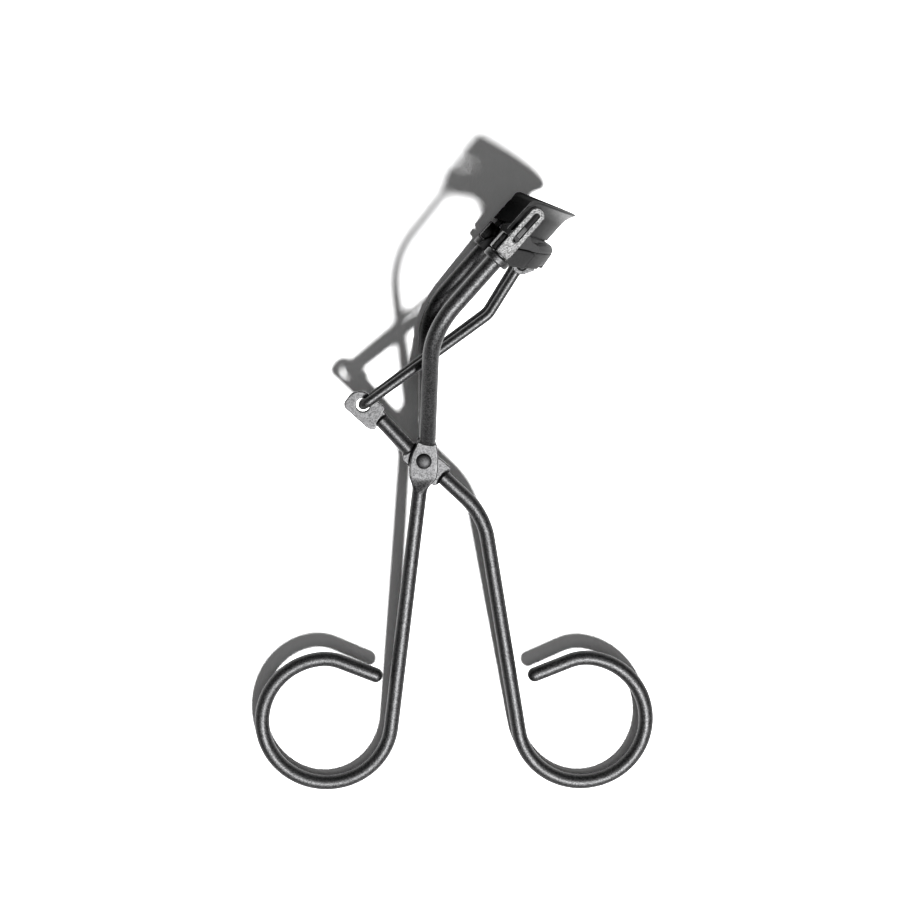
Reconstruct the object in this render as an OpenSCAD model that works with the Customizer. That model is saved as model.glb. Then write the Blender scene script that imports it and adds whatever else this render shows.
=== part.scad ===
/* [Handles] */
// Diameter of the handle rod
rod_d = 2.6; // [2:0.1:3.2]
// Centre-line radius of each finger ring
ring_r = 11.35; // [9:0.05:13]
// Lean of the frame shank away from the tool's length, in degrees
shank_lean = 6.2; // [3:0.1:9]
// Lean of the lever shank the other way, in degrees
lever_lean = 9.7; // [6:0.1:12]
// Centre-line radius of the turned-in tail of each ring
tail_r = 8; // [5:0.5:10]
// Straight length at the end of each ring's tail
tail_len = 6.4; // [3:0.1:8]

/* [Pivot] */
// Width of the flattened plates at the pivot
plate_w = 5; // [4:0.1:6]
// Thickness of each flattened plate
plate_t = 1.2; // [0.8:0.1:1.5]
// Gap between two plates of the pivot
plate_gap = 0.15; // [0.1:0.05:0.3]
// Diameter of the pivot rivet's shank
rivet_d = 1.6; // [1.2:0.1:2]
// Diameter of the rivet's domed heads
rivet_head_d = 2.65; // [2.2:0.05:3.4]
// Height of the rivet's domed heads
rivet_head_h = 0.6; // [0.4:0.05:1]
// Radial clearance of a part that turns or slides on another
running_gap = 0.05; // [0.02:0.01:0.1]

/* [Arms and head] */
// Diameter of the two arms
arm_d = 2.8; // [2.2:0.1:3.2]
// Distance of each arm from the middle plane at the head
arm_z = 13.8; // [12:0.1:15]
// Angle of the head from the tool's length, in degrees
head_angle = 41.3; // [35:0.1:48]
// Radius of the bend in each arm
arm_bend_r = 12; // [8:0.5:14]
// Length of each flat guide plate
guide_len = 9.9; // [8:0.1:11]
// Width of each flat guide plate
guide_w = 2.6; // [2.2:0.1:3.2]
// Thickness of the upper jaw's sheet
jaw_t = 0.8; // [0.6:0.1:1.2]
// Height of the upper jaw's sheet
jaw_h = 6; // [5:0.1:7]
// Flare of the upper jaw's lip
lip_out = 0.9; // [0.4:0.1:1.4]

/* [Moving jaw] */
// Width of the lash pad, front to back
pad_w = 4.2; // [3.4:0.1:5]
// Height of the pad above its holder
pad_h = 1.55; // [1:0.05:1.7]
// Depth of the holder's trough
holder_depth = 2.8; // [2:0.1:3.2]
// Diameter of the sliding collars
collar_d = 4.6; // [4:0.1:5]
// Length of the sliding collars
collar_len = 1.3; // [1:0.1:2]

/* [Yoke] */
// Diameter of the yoke wire
wire_d = 1.6; // [1.4:0.1:1.9]
// Diameter of the hole in the lever's lug
lug_hole_d = 2.4; // [2.3:0.1:2.8]
// Thickness of the lever's lug
lug_t = 1; // [0.8:0.1:1.2]

/* [Hidden] */
$fn = 48;
eps = 0.01;
fit_gap = 0.03;
// Side of a box that holds the whole tool
room = 160;
// Each bend is a hair thicker than the straight wire, which runs a little way into it
hair = 0.03;
bite = 0.1;

// The tool is drawn flat first: X to the lever side, Y to the head, Z along the pivot,
// with the shanks' crossing at the origin. lay() then rests it on its far side.
pivot = [0, 0.3, 0];
plate_z = plate_t + plate_gap;
plate_top = plate_z + plate_t / 2;

// Rings
frame_ring = [-16.7, -46.3, 0];
lever_ring = [28.35, -46.5, 0];
frame_shank_top = [-0.75, -5.5, 0];
ring_exit = 7.5;
tail_turn = 29.5;
ring_low = frame_ring.y - ring_r;
plate_reach = 5;
shank_slope = atan(plate_z / (pivot.y - plate_reach - ring_low));

// Lever
lever_axis = -42;
lever_heading = -90 + lever_lean;
lever_entry = lever_ring + ring_r * [sin(lever_heading), -cos(lever_heading), 0];
lever_corner_y = -9.45;
lever_corner = [lever_entry.x + (lever_corner_y - lever_entry.y) / tan(lever_heading),
                lever_corner_y, 0];
lever_plate_w = 4.4;
lever_bend_r = 13;
lug_hole = [-10.43, 9.83, 0];
lug_axis = 140;
neck_start = [-2.9, 2.5, 0];
neck_end = [-7.9, 7.9, 0];

// Arms
arm_r = arm_d / 2;
arm_foot = [0.65, 3.4, plate_z];
arm_run = 16.8;
guide_foot = [11.8, 36.6, 0];
socket_h = 3.2;
socket_back = 2.2;
arm_in_socket = 2.8;

// Head directions: up runs along the guides, out points to the lash side
up = [sin(head_angle), cos(head_angle), 0];
out = [cos(head_angle), -sin(head_angle), 0];
side = [0, 0, 1];
out_low = sin(head_angle);
arm_corner = guide_foot + side * arm_z - up * arm_run;

// Upper jaw: an arc in a plane that is pitched up from the guides' normal
jaw_pitch = 20.8;
jaw_r = 19.2;
jaw_front = [5.67, 6.85];
guide_face_z = arm_z + arm_r + 1.4;
guide_t = 0.7;
guide_in_z = guide_face_z - guide_t;
slot_w = 0.8;
slot_low = 3.1;
slot_high = 8.9;
tab_h = 2.9;
jaw_back = 2.15;

// Moving jaw: an arc in its own, steeper plane
pad_pitch = 29.3;
pad_front = [7.79, 5.9];
pad_r = 18;
pad_half_angle = 50;
trough_foot = 0.95;
trough_floor = 1.6;
cheek_z = 11.8;
cheek_t = 0.7;
trough_wall = 0.6;
collar_top = -0.2;

// Yoke
wire_r = wire_d / 2;
yoke_corner = [10.8, 25.6, 0];
yoke_top = [16.05, 34.25, 0];
leg_z_low = 1.6;
leg_z_corner = 3;
leg_z_top = 3.6;
yoke_foot_r = 1;
yoke_bend_r = 4;
pin_bend_r = 1.2;
ear_z = 4.9;
ear_t = 0.9;
ear_r = 1.6;
pin_end_z = ear_z + ear_t + 0.4;
notch_r = wire_r + 0.35;
notch_z = leg_z_top - wire_r - 0.4;

// Laid pose: the head is raised until the rings and the head's far side share one plane
rod_r = (rod_d + hair) / 2;
head_reach = guide_foot.y - out_low * guide_w / 2 - (lever_ring.y - ring_r);
lay_tilt = atan2(guide_face_z, head_reach) - asin(rod_r / norm([guide_face_z, head_reach]));
tool_left = frame_ring.x - ring_r - rod_r;
tool_right = lever_ring.x + ring_r + rod_r;
lay_x = -(tool_left + tool_right) / 2;
lay_y = 5.48;
lay_z = (ring_r - lever_ring.y) * sin(lay_tilt) + rod_r;

steel = "#4a4b4d";
pale_steel = "#8c8d8f";
dark_steel = "#2a2a2b";
black_rubber = "#1a1a1b";

module lay() {
    translate([lay_x, lay_y, lay_z])
        rotate([lay_tilt, 0, 0])
            children();
}

function unit(v) = v / norm(v);
function turn_between(a, b) = acos(max(-1, min(1, a * b)));

// Stands its children's Z axis along the direction d at the point p
module along(p, d) {
    z = unit(d);
    x = unit(abs(z.z) > 0.9 ? cross([1, 0, 0], z) : cross([0, 0, 1], z));
    y = cross(z, x);
    multmatrix([[x.x, y.x, z.x, p.x], [x.y, y.y, z.y, p.y], [x.z, y.z, z.z, p.z], [0, 0, 0, 1]])
        children();
}

// Puts the children in a frame with the given X and Y directions
module in_frame(p, x, y) {
    z = cross(x, y);
    multmatrix([[x.x, y.x, z.x, p.x], [x.y, y.y, z.y, p.y], [x.z, y.z, z.z, p.z], [0, 0, 0, 1]])
        children();
}

module rod_between(a, b, d) {
    along(a - unit(b - a) * bite, b - a)
        cylinder(d = d, h = norm(b - a) + 2 * bite);
}

// One round bend from the direction a to the direction b, tangent to both at the corner c
module rod_bend(c, a, b, r, d) {
    turn = turn_between(a, b);
    start = c - a * r * tan(turn / 2);
    inward = unit(b - a * (a * b));
    in_frame(start + inward * r, -inward, a)
        rotate_extrude(angle = turn, $fn = 96)
            translate([r, 0])
                circle(d = d + hair, $fn = 32);
}

// A wire through points, with a bend radius at each inner point
module bent_rod(points, radii, d) {
    n = len(points) - 1;
    dirs = [for (i = [0:n - 1]) unit(points[i + 1] - points[i])];
    trims = [for (i = [0:n]) i == 0 || i == n ? 0
        : radii[i - 1] * tan(turn_between(dirs[i - 1], dirs[i]) / 2)];
    for (i = [0:n - 1])
        rod_between(points[i] + dirs[i] * trims[i], points[i + 1] - dirs[i] * trims[i + 1], d);
    for (i = [1:n - 1])
        rod_bend(points[i], dirs[i - 1], dirs[i], radii[i - 1], d);
}

// An arc of rod in the XY plane from one angle to another
module flat_arc(c, r, from, sweep, d) {
    translate(c)
        rotate(from)
            rotate_extrude(angle = sweep, $fn = 128)
                translate([r, 0])
                    circle(d = d, $fn = 32);
}

// A finger ring that winds clockwise from a shank arriving at the heading h,
// then turns in more tightly and ends in a short straight tail with a round tip
module finger_ring(c, h, d) {
    entry = h + 90;
    exit = 90 + ring_exit;
    last = exit - tail_turn;
    tail_c = c + (ring_r - tail_r) * [cos(exit), sin(exit), 0];
    tail_start = tail_c + tail_r * [cos(last), sin(last), 0];
    tail_end = tail_start + tail_len * [sin(last), -cos(last), 0];
    flat_arc(c, ring_r, exit, entry - exit, d + hair);
    flat_arc(tail_c, tail_r, last - bite, tail_turn + 2 * bite, d);
    rod_between(tail_start, tail_end, d + hair);
    translate(tail_end)
        sphere(d = d + 2 * hair, $fn = 32);
}

// The point where a shank at the heading h meets its ring
function ring_entry(c, h) = c + ring_r * [-sin(h), cos(h), 0];

// Flattened plate of the frame handle, narrowing to the shank below and to the arm above
module near_plate() {
    half = plate_w / 2;
    translate([0, 0, plate_z - plate_t / 2])
        linear_extrude(plate_t)
            difference() {
                polygon([[-half, -3.2], [-2.2, -4.5], [-1.9, -5.4], [0.5, -5.4], [1.2, -4.8],
                         [1.8, -3.9], [2.1, -3], [half, 0], [half, 1.6], [2.1, 3.6],
                         [-0.9, 3.6], [-2.1, 0.9], [-half, -0.8]]);
                translate(pivot)
                    circle(d = rivet_d);
            }
}

module frame_shank() {
    heading = 270 - shank_lean;
    entry = ring_entry(frame_ring, heading);
    translate([0, ring_low, 0])
        rotate([shank_slope, 0, 0])
            translate([0, -ring_low, 0]) {
                rod_between(frame_shank_top, entry, rod_d);
                finger_ring(frame_ring, heading, rod_d);
            }
}

module arm() {
    bent_rod([arm_foot, arm_corner, guide_foot + side * arm_z + up * arm_in_socket],
        [arm_bend_r], arm_d);
}

// Keeps only what lies within the distance z of the middle plane
module within(z) {
    intersection() {
        children();
        translate([-room / 2, -room / 2, -z])
            cube([room, room, 2 * z]);
    }
}

module above_plane(z) {
    intersection() {
        children();
        translate([-room / 2, -room / 2, z])
            cube([room, room, room]);
    }
}

module frame_handle() {
    color(steel)
        lay() {
            near_plate();
            frame_shank();
            above_plane(plate_z - plate_t / 2)
                arm();
        }
}

// The far arm ends in its own flat eye on the far side of the lever
module far_arm() {
    color(steel)
        lay()
            mirror([0, 0, 1]) {
                translate([0, 0, plate_z - plate_t / 2])
                    linear_extrude(plate_t)
                        difference() {
                            union() {
                                translate(pivot)
                                    circle(d = plate_w - 0.4);
                                translate([-1.3, 0])
                                    square([3.3, 3.6]);
                            }
                            translate(pivot)
                                circle(d = rivet_d);
                        }
                above_plane(plate_z - plate_t / 2)
                    arm();
            }
}

module dome(d, h) {
    ball_r = (d * d / 4 + h * h) / (2 * h);
    intersection() {
        translate([0, 0, h - ball_r])
            sphere(r = ball_r);
        cylinder(d = d, h = h);
    }
}

module pivot_rivet() {
    color(dark_steel)
        lay() {
            translate(pivot - side * plate_top)
                cylinder(d = rivet_d, h = 2 * plate_top);
            for (end = [0, 1])
                mirror([0, 0, end])
                    translate(pivot + side * plate_top)
                        dome(rivet_head_d, rivet_head_h);
        }
}

// Head frame: X out, Y along the guides, Z across, with the origin at the guides' foot
module in_head() {
    in_frame(guide_foot, out, up)
        children();
}

module guide_outline() {
    translate([-guide_w / 2, 0])
        square([guide_w, guide_len - guide_w / 2]);
    translate([0, guide_len - guide_w / 2])
        circle(d = guide_w);
}

module guide() {
    in_head()
        difference() {
            union() {
                translate([0, 0, guide_in_z])
                    linear_extrude(guide_t)
                        guide_outline();
                translate([-socket_back, 0, arm_z - arm_r - 0.2])
                    cube([socket_back + guide_w / 2, socket_h, guide_in_z - arm_z + arm_r + 0.2]);
            }
            translate([0, -1, arm_z])
                rotate([-90, 0, 0])
                    cylinder(d = arm_d, h = 1 + arm_in_socket + bite);
            translate([-slot_w / 2, slot_low, guide_in_z - 1])
                cube([slot_w, slot_high - slot_low, guide_t + 2]);
        }
}

module near_guide() {
    color(pale_steel)
        lay()
            guide();
}

module far_guide() {
    color(pale_steel)
        lay()
            mirror([0, 0, 1])
                guide();
}

// Section of the upper jaw's sheet: distance out from the arc, and height along the guides
function jaw_section() = [[0, 0], [0, jaw_h - 2.2], [lip_out * 0.25, jaw_h - 1.2],
    [lip_out * 0.6, jaw_h - 0.5], [lip_out, jaw_h], [lip_out - jaw_t * 0.9, jaw_h + 0.2],
    [lip_out * 0.25 - jaw_t, jaw_h - 1], [-jaw_t, jaw_h - 2.2], [-jaw_t, 0]];

// A point of the upper jaw at the arc angle a, in the head frame
function jaw_point(a, p) =
    let (reach = (jaw_r + p.x) * cos(a) - jaw_r)
    [jaw_front.x + reach * cos(jaw_pitch), jaw_front.y + reach * sin(jaw_pitch) + p.y,
     (jaw_r + p.x) * sin(a)];

module jaw_sheet() {
    steps = 44;
    half = 60;
    section = jaw_section();
    n = len(section);
    points = [for (i = [0:steps]) for (p = section) jaw_point(-half + 2 * half * i / steps, p)];
    skin = [for (i = [0:steps - 1]) for (j = [0:n - 1])
        let (a = i * n + j, b = i * n + (j + 1) % n)
        each [[b + n, b, a], [a + n, b + n, a]]];
    first_end = [for (j = [0:n - 1]) j];
    last_end = [for (j = [n - 1:-1:0]) steps * n + j];
    polyhedron(points, concat(skin, [first_end, last_end]), convexity = 4);
}

module upper_jaw() {
    tab_w = slot_w - 2 * fit_gap;
    color(dark_steel)
        lay()
            in_head() {
                intersection() {
                    jaw_sheet();
                    translate([-jaw_back, 0, 0.05 - guide_in_z])
                        cube([20, 20, 2 * (guide_in_z - 0.05)]);
                }
                for (end = [0, 1])
                    mirror([0, 0, end])
                        translate([-tab_w / 2, slot_low + 0.8, guide_in_z - 2.3])
                            cube([tab_w, tab_h - 0.8, guide_t + 2.3]);
            }
}

module lever_plate() {
    half = lever_plate_w / 2;
    neck = rod_d / 2;
    translate(pivot - side * plate_t / 2)
        linear_extrude(plate_t)
            difference() {
                rotate(lever_axis)
                    polygon([[-3.5, -neck], [-2.7, -half], [3.4, -half], [4.4, -neck], [4.4, neck],
                             [3, half - 0.2], [-2.7, half], [-3.5, neck]]);
                circle(d = rivet_d + 2 * running_gap);
            }
}

// The lug's outline: round at the outer corner of the far end, nearly square at the inner one
module lug_outline() {
    round_r = 2.4;
    polygon(concat([[-4.4, 2], [-3.4, 2.6], [2.1, 2.4], [2.7, 1.9]],
        [for (a = [0:-15:-90]) [0.4, 0.4] + round_r * [cos(a), sin(a)]],
        [[-3.3, -2.1], [-3.9, 0]]));
}

module lever_lug() {
    translate([lug_hole.x, lug_hole.y, -lug_t / 2])
        rotate(lug_axis)
            linear_extrude(lug_t)
                difference() {
                    lug_outline();
                    circle(d = lug_hole_d);
                }
}

module lever_handle() {
    start = pivot + 4.2 * [cos(lever_axis), sin(lever_axis), 0];
    color(steel)
        lay() {
            lever_plate();
            lever_lug();
            rod_between(neck_start, neck_end, rod_d);
            bent_rod([start, lever_corner, lever_entry], [lever_bend_r], rod_d);
            translate([lever_ring.x, 0, 0])
                mirror([1, 0, 0])
                    finger_ring([0, lever_ring.y, 0], 180 - lever_heading, rod_d);
        }
}

module yoke_wire() {
    color(steel)
        lay()
            for (end = [0, 1])
                mirror([0, 0, end])
                    bent_rod([lug_hole, lug_hole + side * leg_z_low,
                              yoke_corner + side * leg_z_corner, yoke_top + side * leg_z_top,
                              yoke_top + side * pin_end_z],
                        [yoke_foot_r, yoke_bend_r, pin_bend_r], wire_d);
}

// Moving jaw's frame: X along the pitched arc plane, Y square to it, centre of the arc at 0
module in_pad() {
    in_head()
        translate([pad_front.x, pad_front.y, 0])
            rotate(pad_pitch)
                translate([-pad_r - pad_w / 2, 0, 0])
                    children();
}

// Sweeps an outline of distance across and height along the pad's arc
module pad_arc(half) {
    rotate([-90, 0, 0])
        rotate([0, 0, -half])
            rotate_extrude(angle = 2 * half, $fn = 128)
                translate([pad_r, 0])
                    children();
}

module trough_outline() {
    half = pad_w / 2;
    inner = half - trough_wall;
    difference() {
        polygon([[-half, 0], [-trough_foot, -holder_depth], [trough_foot, -holder_depth], [half, 0]]);
        polygon([[-inner, eps], [-trough_foot, -trough_floor], [trough_foot, -trough_floor],
                 [inner, eps]]);
    }
}

module pad_outline() {
    half = pad_w / 2;
    inner = half - trough_wall - fit_gap;
    foot = trough_foot - fit_gap;
    root = trough_floor - fit_gap;
    round_r = 1.1;
    polygon([[-inner, 0], [-foot, -root], [foot, -root], [inner, 0]]);
    polygon(concat([[-half, 0], [half, 0], [half, pad_h - round_r]],
        [for (a = [15:15:90]) [half - round_r + round_r * cos(a), pad_h - round_r + round_r * sin(a)]],
        [for (a = [90:15:165]) [-half + round_r + round_r * cos(a), pad_h - round_r + round_r * sin(a)]],
        [[-half, pad_h - round_r]]));
}

// Flat cheek that closes one end of the trough and carries the collar beside it
module cheek() {
    translate([0, 0, cheek_z - cheek_t])
        linear_extrude(cheek_t)
            polygon([[-1.2, collar_top - collar_len], [1.6, collar_top - collar_len],
                     [2.7, -0.4], [4.7, 0.9], [4.6, 4.1], [-0.3, 1.4], [-1.2, collar_top]]);
}

// Room for the yoke's turned-out ends under the trough
module yoke_notch() {
    for (end = [0, 1])
        mirror([0, 0, end])
            translate([yoke_top.x, yoke_top.y, notch_z])
                cylinder(r = notch_r, h = pin_end_z - notch_z + 0.3);
}

module pad_holder() {
    color(dark_steel)
        lay() {
            within(cheek_z - cheek_t / 2)
                difference() {
                    in_pad()
                        pad_arc(pad_half_angle)
                            trough_outline();
                    yoke_notch();
                }
            in_head()
                for (end = [0, 1])
                    mirror([0, 0, end])
                        cheek();
        }
}

module lash_pad() {
    color(black_rubber)
        lay()
            within(cheek_z - cheek_t - fit_gap)
                in_pad()
                    pad_arc(pad_half_angle)
                        pad_outline();
}

// A collar that slides on an arm, with a flat boss against the cheek
module collar() {
    bore_d = arm_d + 2 * running_gap;
    in_head()
        translate([0, collar_top - collar_len, arm_z])
            rotate([-90, 0, 0])
                difference() {
                    union() {
                        cylinder(d = collar_d, h = collar_len);
                        translate([-1.4, 0, 0])
                            cube([2.8, arm_z - cheek_z, collar_len]);
                    }
                    translate([0, 0, -1])
                        cylinder(d = bore_d, h = collar_len + 2);
                    translate([-5, arm_z - cheek_z, -1])
                        cube([10, 5, collar_len + 2]);
                }
}

module near_collar() {
    color(steel)
        lay()
            collar();
}

module far_collar() {
    color(steel)
        lay()
            mirror([0, 0, 1])
                collar();
}

// A small ear under the holder that takes one turned-out end of the yoke wire
module ear() {
    difference() {
        translate([yoke_top.x, yoke_top.y, ear_z])
            linear_extrude(ear_t)
                difference() {
                    union() {
                        circle(r = ear_r);
                        rotate(20)
                            translate([0, -ear_r])
                                square([1.7, 2 * ear_r]);
                    }
                    circle(d = wire_d + 2 * running_gap);
                }
        in_pad()
            pad_arc(pad_half_angle)
                polygon([[-pad_w / 2, 3], [-pad_w / 2, 0], [-trough_foot, -holder_depth],
                         [trough_foot, -holder_depth], [pad_w / 2, 0], [pad_w / 2, 3]]);
    }
}

module near_ear() {
    color(steel)
        lay()
            ear();
}

module far_ear() {
    color(steel)
        lay()
            mirror([0, 0, 1])
                ear();
}

frame_handle();
far_arm();
pivot_rivet();
near_guide();
far_guide();
upper_jaw();
lever_handle();
yoke_wire();
pad_holder();
lash_pad();
near_collar();
far_collar();
near_ear();
far_ear();
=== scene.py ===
"""Eyelash curler in plated steel wire: forged handles, riveted pivot, guides, jaws, pad and yoke.

All shapes are worked out in the tool's own frame in millimetres: X to the lever side, Y to the head,
Z along the pivot. Lay.to_row then turns them into the shared frame, in metres.
"""

import logging
import math
from dataclasses import dataclass, field
from enum import Enum

import bpy
import numpy as np
from mathutils import Matrix, Vector


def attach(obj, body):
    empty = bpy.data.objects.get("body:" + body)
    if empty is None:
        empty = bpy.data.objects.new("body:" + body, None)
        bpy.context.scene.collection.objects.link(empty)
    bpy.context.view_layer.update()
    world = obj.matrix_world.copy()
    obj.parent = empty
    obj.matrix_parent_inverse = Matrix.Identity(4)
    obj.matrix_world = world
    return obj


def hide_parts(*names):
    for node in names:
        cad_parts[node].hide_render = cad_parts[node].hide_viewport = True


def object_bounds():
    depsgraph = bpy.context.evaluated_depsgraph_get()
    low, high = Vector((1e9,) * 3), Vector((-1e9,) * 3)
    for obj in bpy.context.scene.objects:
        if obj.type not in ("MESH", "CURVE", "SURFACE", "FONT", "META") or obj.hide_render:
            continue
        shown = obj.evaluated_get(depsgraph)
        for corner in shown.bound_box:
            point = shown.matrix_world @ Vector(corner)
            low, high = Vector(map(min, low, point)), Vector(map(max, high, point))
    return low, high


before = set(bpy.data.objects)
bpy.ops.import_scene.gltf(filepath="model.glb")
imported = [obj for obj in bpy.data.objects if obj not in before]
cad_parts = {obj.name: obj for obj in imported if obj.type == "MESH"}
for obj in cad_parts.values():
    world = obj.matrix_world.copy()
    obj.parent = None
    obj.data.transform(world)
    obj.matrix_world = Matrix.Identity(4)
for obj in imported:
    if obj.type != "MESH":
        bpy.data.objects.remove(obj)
CAD_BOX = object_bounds()
LOG = logging.getLogger("eyelash_curler")
MM = 0.001

Array = np.ndarray
DENSE_COUNT = 6000
BEND_STEPS = 5
STRAIGHT = 1e-4
NEARLY_ZERO = 1e-9
HAIR = 1e-6
SMALLEST_SHARE = 0.03
COARSE = 0.3
FINE = 0.09


# ---------------------------------------------------------------- small maths


def vec(*values: float) -> Array:
    """Returns the values as one array of floats."""
    return np.array(values, float)


def unit(v: Array) -> Array:
    """Returns the vectors in v, along its last axis, divided by their lengths."""
    return v / np.linalg.norm(v, axis=-1, keepdims=True)


def smooth(x: Array) -> Array:
    """Returns 0 below 0, 1 above 1, and three x squared minus two x cubed between them."""
    t = np.clip(x, 0.0, 1.0)
    return t * t * (3.0 - 2.0 * t)


def heading(degrees: float) -> Array:
    """Returns the flat direction that stands at an angle from +X."""
    a = math.radians(degrees)
    return vec(math.cos(a), math.sin(a), 0.0)


def spokes(count: int) -> Array:
    """Returns count flat unit directions, evenly turned: the cosine and sine of each angle."""
    turn = np.linspace(0, 2 * math.pi, count + 1)[:-1]
    return np.stack([np.cos(turn), np.sin(turn)], -1)


def run_lengths(path: Array) -> Array:
    """Returns each point's length from the path's start: the sum of the gaps before it."""
    return np.concatenate([[0.0], np.cumsum(np.linalg.norm(np.diff(path, axis=0), axis=1))])


@dataclass(frozen=True)
class Lay:
    """How the tool rests: turned about X by tilt, then moved by origin, in millimetres."""

    tilt: float
    origin: tuple[float, float, float]

    def turn(self) -> Array:
        """Returns the rotation matrix about X."""
        c, s = math.cos(self.tilt), math.sin(self.tilt)
        return np.array([[1, 0, 0], [0, c, -s], [0, s, c]], float)

    def to_row(self, points: Array) -> Array:
        """Turns tool points in millimetres into shared-frame points in metres.

        Args:
            points: array whose last axis is x, y, z.

        Returns:
            The turned and moved points, in metres.
        """
        return (points @ self.turn().T + np.array(self.origin)) * MM


@dataclass(frozen=True)
class Tool:
    """The sizes that several sub-assemblies share, in millimetres and degrees."""

    rod_r: float = 1.3
    ring_r: float = 11.35
    frame_ring: tuple[float, float] = (-16.7, -46.3)
    lever_ring: tuple[float, float] = (28.35, -46.5)
    pivot: tuple[float, float] = (0.0, 0.3)
    plate_t: float = 1.2
    plate_z: float = 1.35
    head_angle: float = 41.3
    arm_r: float = 1.4
    arm_z: float = 13.8
    arm_run: float = 16.8
    arm_in_socket: float = 2.8
    arm_bend_r: float = 12.0
    guide_foot: tuple[float, float] = (11.8, 36.6)
    guide_w: float = 2.6
    guide_t: float = 0.7
    guide_face: float = 16.6
    lay_x: float = -5.825
    lay_y: float = 5.48
    hair: float = 0.03

    def up(self) -> Array:
        """Returns the direction along the guides."""
        a = math.radians(self.head_angle)
        return vec(math.sin(a), math.cos(a), 0.0)

    def out(self) -> Array:
        """Returns the direction from the guides towards the lash side."""
        a = math.radians(self.head_angle)
        return vec(math.cos(a), -math.sin(a), 0.0)

    def head(self, x: Array, y: Array, z: Array) -> Array:
        """Places head coordinates in the tool frame.

        Args:
            x: distance out from the guides' middle.
            y: height along the guides from their foot.
            z: distance across, positive on the near side.

        Returns:
            Points as the foot plus x times out plus y times up plus z across.
        """
        x, y, z = np.broadcast_arrays(x, y, z)
        foot = vec(*self.guide_foot, 0.0)
        return foot + x[..., None] * self.out() + y[..., None] * self.up() + z[..., None] * vec(0, 0, 1)

    def arm_points(self) -> tuple[Array, Array]:
        """Returns where the near arm bends up along the head, and its end in the socket."""
        bend = self.head(vec(0.0), vec(-self.arm_run), vec(self.arm_z))[0]
        return bend, self.head(vec(0.0), vec(self.arm_in_socket), vec(self.arm_z))[0]

    def lay(self) -> Lay:
        """Returns the rest pose: the rings and the far guide's face share one plane."""
        low = self.lever_ring[1] - self.ring_r
        reach = self.guide_foot[1] - math.sin(math.radians(self.head_angle)) * self.guide_w / 2 - low
        rod = self.rod_r + self.hair / 2
        tilt = math.atan2(self.guide_face, reach) - math.asin(rod / math.hypot(self.guide_face, reach))
        height = -low * math.sin(tilt) + rod
        return Lay(tilt, (self.lay_x, self.lay_y, height))


TOOL = Tool()
LAY = TOOL.lay()


# ---------------------------------------------------------------- surfaces


@dataclass
class Shell:
    """One closed surface: its points, its faces as rows of indexes, and values per point."""

    points: Array
    quads: Array
    tris: Array
    flat: Array
    edge: Array

    def volume(self) -> float:
        """Returns the signed volume: a sixth of the sum of triple products over all triangles."""
        fan = np.concatenate([self.tris, self.quads[:, [0, 1, 2]], self.quads[:, [0, 2, 3]]])
        a, b, c = (self.points[fan[:, k]] for k in range(3))
        return float((np.cross(a, b) * c).sum() / 6.0)

    def moved(self, points: Array) -> "Shell":
        """Returns the shell with its points replaced, facing outwards."""
        return Shell(points, self.quads, self.tris, self.flat, self.edge).outward()

    def flat_turned(self, centre: tuple[float, float], degrees: float) -> "Shell":
        """Returns the shell turned about Z and then moved so that its origin is at centre."""
        c, s = math.cos(math.radians(degrees)), math.sin(math.radians(degrees))
        x, y, z = self.points.T
        return self.moved(np.stack([centre[0] + c * x - s * y, centre[1] + s * x + c * y, z], -1))

    def outward(self) -> "Shell":
        """Returns the shell with its faces turned outwards."""
        if self.volume() < 0.0:
            self.quads = self.quads[:, ::-1]
            self.tris = self.tris[:, ::-1]
        return self


def shell_from_grid(grid: Array, wrap: bool, flat: Array | None = None, edge: Array | None = None) -> Shell:
    """Joins a grid of points into a closed shell.

    The columns always close on themselves. The rows close on themselves too if wrap is set,
    and otherwise the first and last row are closed with a fan around their middle.

    Args:
        grid: points with the shape (rows, columns, 3).
        wrap: whether the last row joins the first.
        flat: share of forged flat at each point.
        edge: share of worn edge at each point.

    Returns:
        The closed shell, facing outwards.
    """
    rows, cols = grid.shape[:2]
    flat = np.zeros((rows, cols)) if flat is None else np.broadcast_to(flat, (rows, cols))
    edge = np.zeros((rows, cols)) if edge is None else np.broadcast_to(edge, (rows, cols))
    i = np.arange(rows if wrap else rows - 1)[:, None]
    j = np.arange(cols)[None, :]
    ii, jj = (i + 1) % rows, (j + 1) % cols
    quads = np.stack([i * cols + j, i * cols + jj, ii * cols + jj, ii * cols + j], -1).reshape(-1, 4)
    points, flats, edges = grid.reshape(-1, 3), flat.reshape(-1), edge.reshape(-1)
    tris = np.zeros((0, 3), int)
    if not wrap:
        ends = np.stack([grid[0].mean(0), grid[-1].mean(0)])
        first, last = rows * cols, rows * cols + 1
        k = np.arange(cols)
        kk = (k + 1) % cols
        base = (rows - 1) * cols
        tris = np.concatenate([
            np.stack([kk, k, np.full(cols, first)], -1),
            np.stack([base + k, base + kk, np.full(cols, last)], -1)])
        points = np.concatenate([points, ends])
        flats = np.concatenate([flats, [flat[0].mean(), flat[-1].mean()]])
        edges = np.concatenate([edges, [edge[0].mean(), edge[-1].mean()]])
    return Shell(points, quads, tris, flats, edges).outward()


@dataclass(frozen=True)
class BoxLoop:
    """A loop of points round a box with rounded corners, as shares of its sizes.

    A point's place across is a times (half width less corner radius) plus b times the radius,
    and its height is c times (half height less the radius) plus d times the radius.
    """

    a: Array
    b: Array
    c: Array
    d: Array
    corner: Array

    def size(self) -> int:
        """Returns the number of points in the loop."""
        return len(self.a)

    def place(self, width: Array, height: Array, radius: Array) -> tuple[Array, Array]:
        """Returns the loop's points for each row of half widths, half heights and corner radii."""
        w, h, r = (np.asarray(x, float)[..., None] for x in (width, height, radius))
        return self.a * (w - r) + self.b * r, self.c * (h - r) + self.d * r


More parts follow.
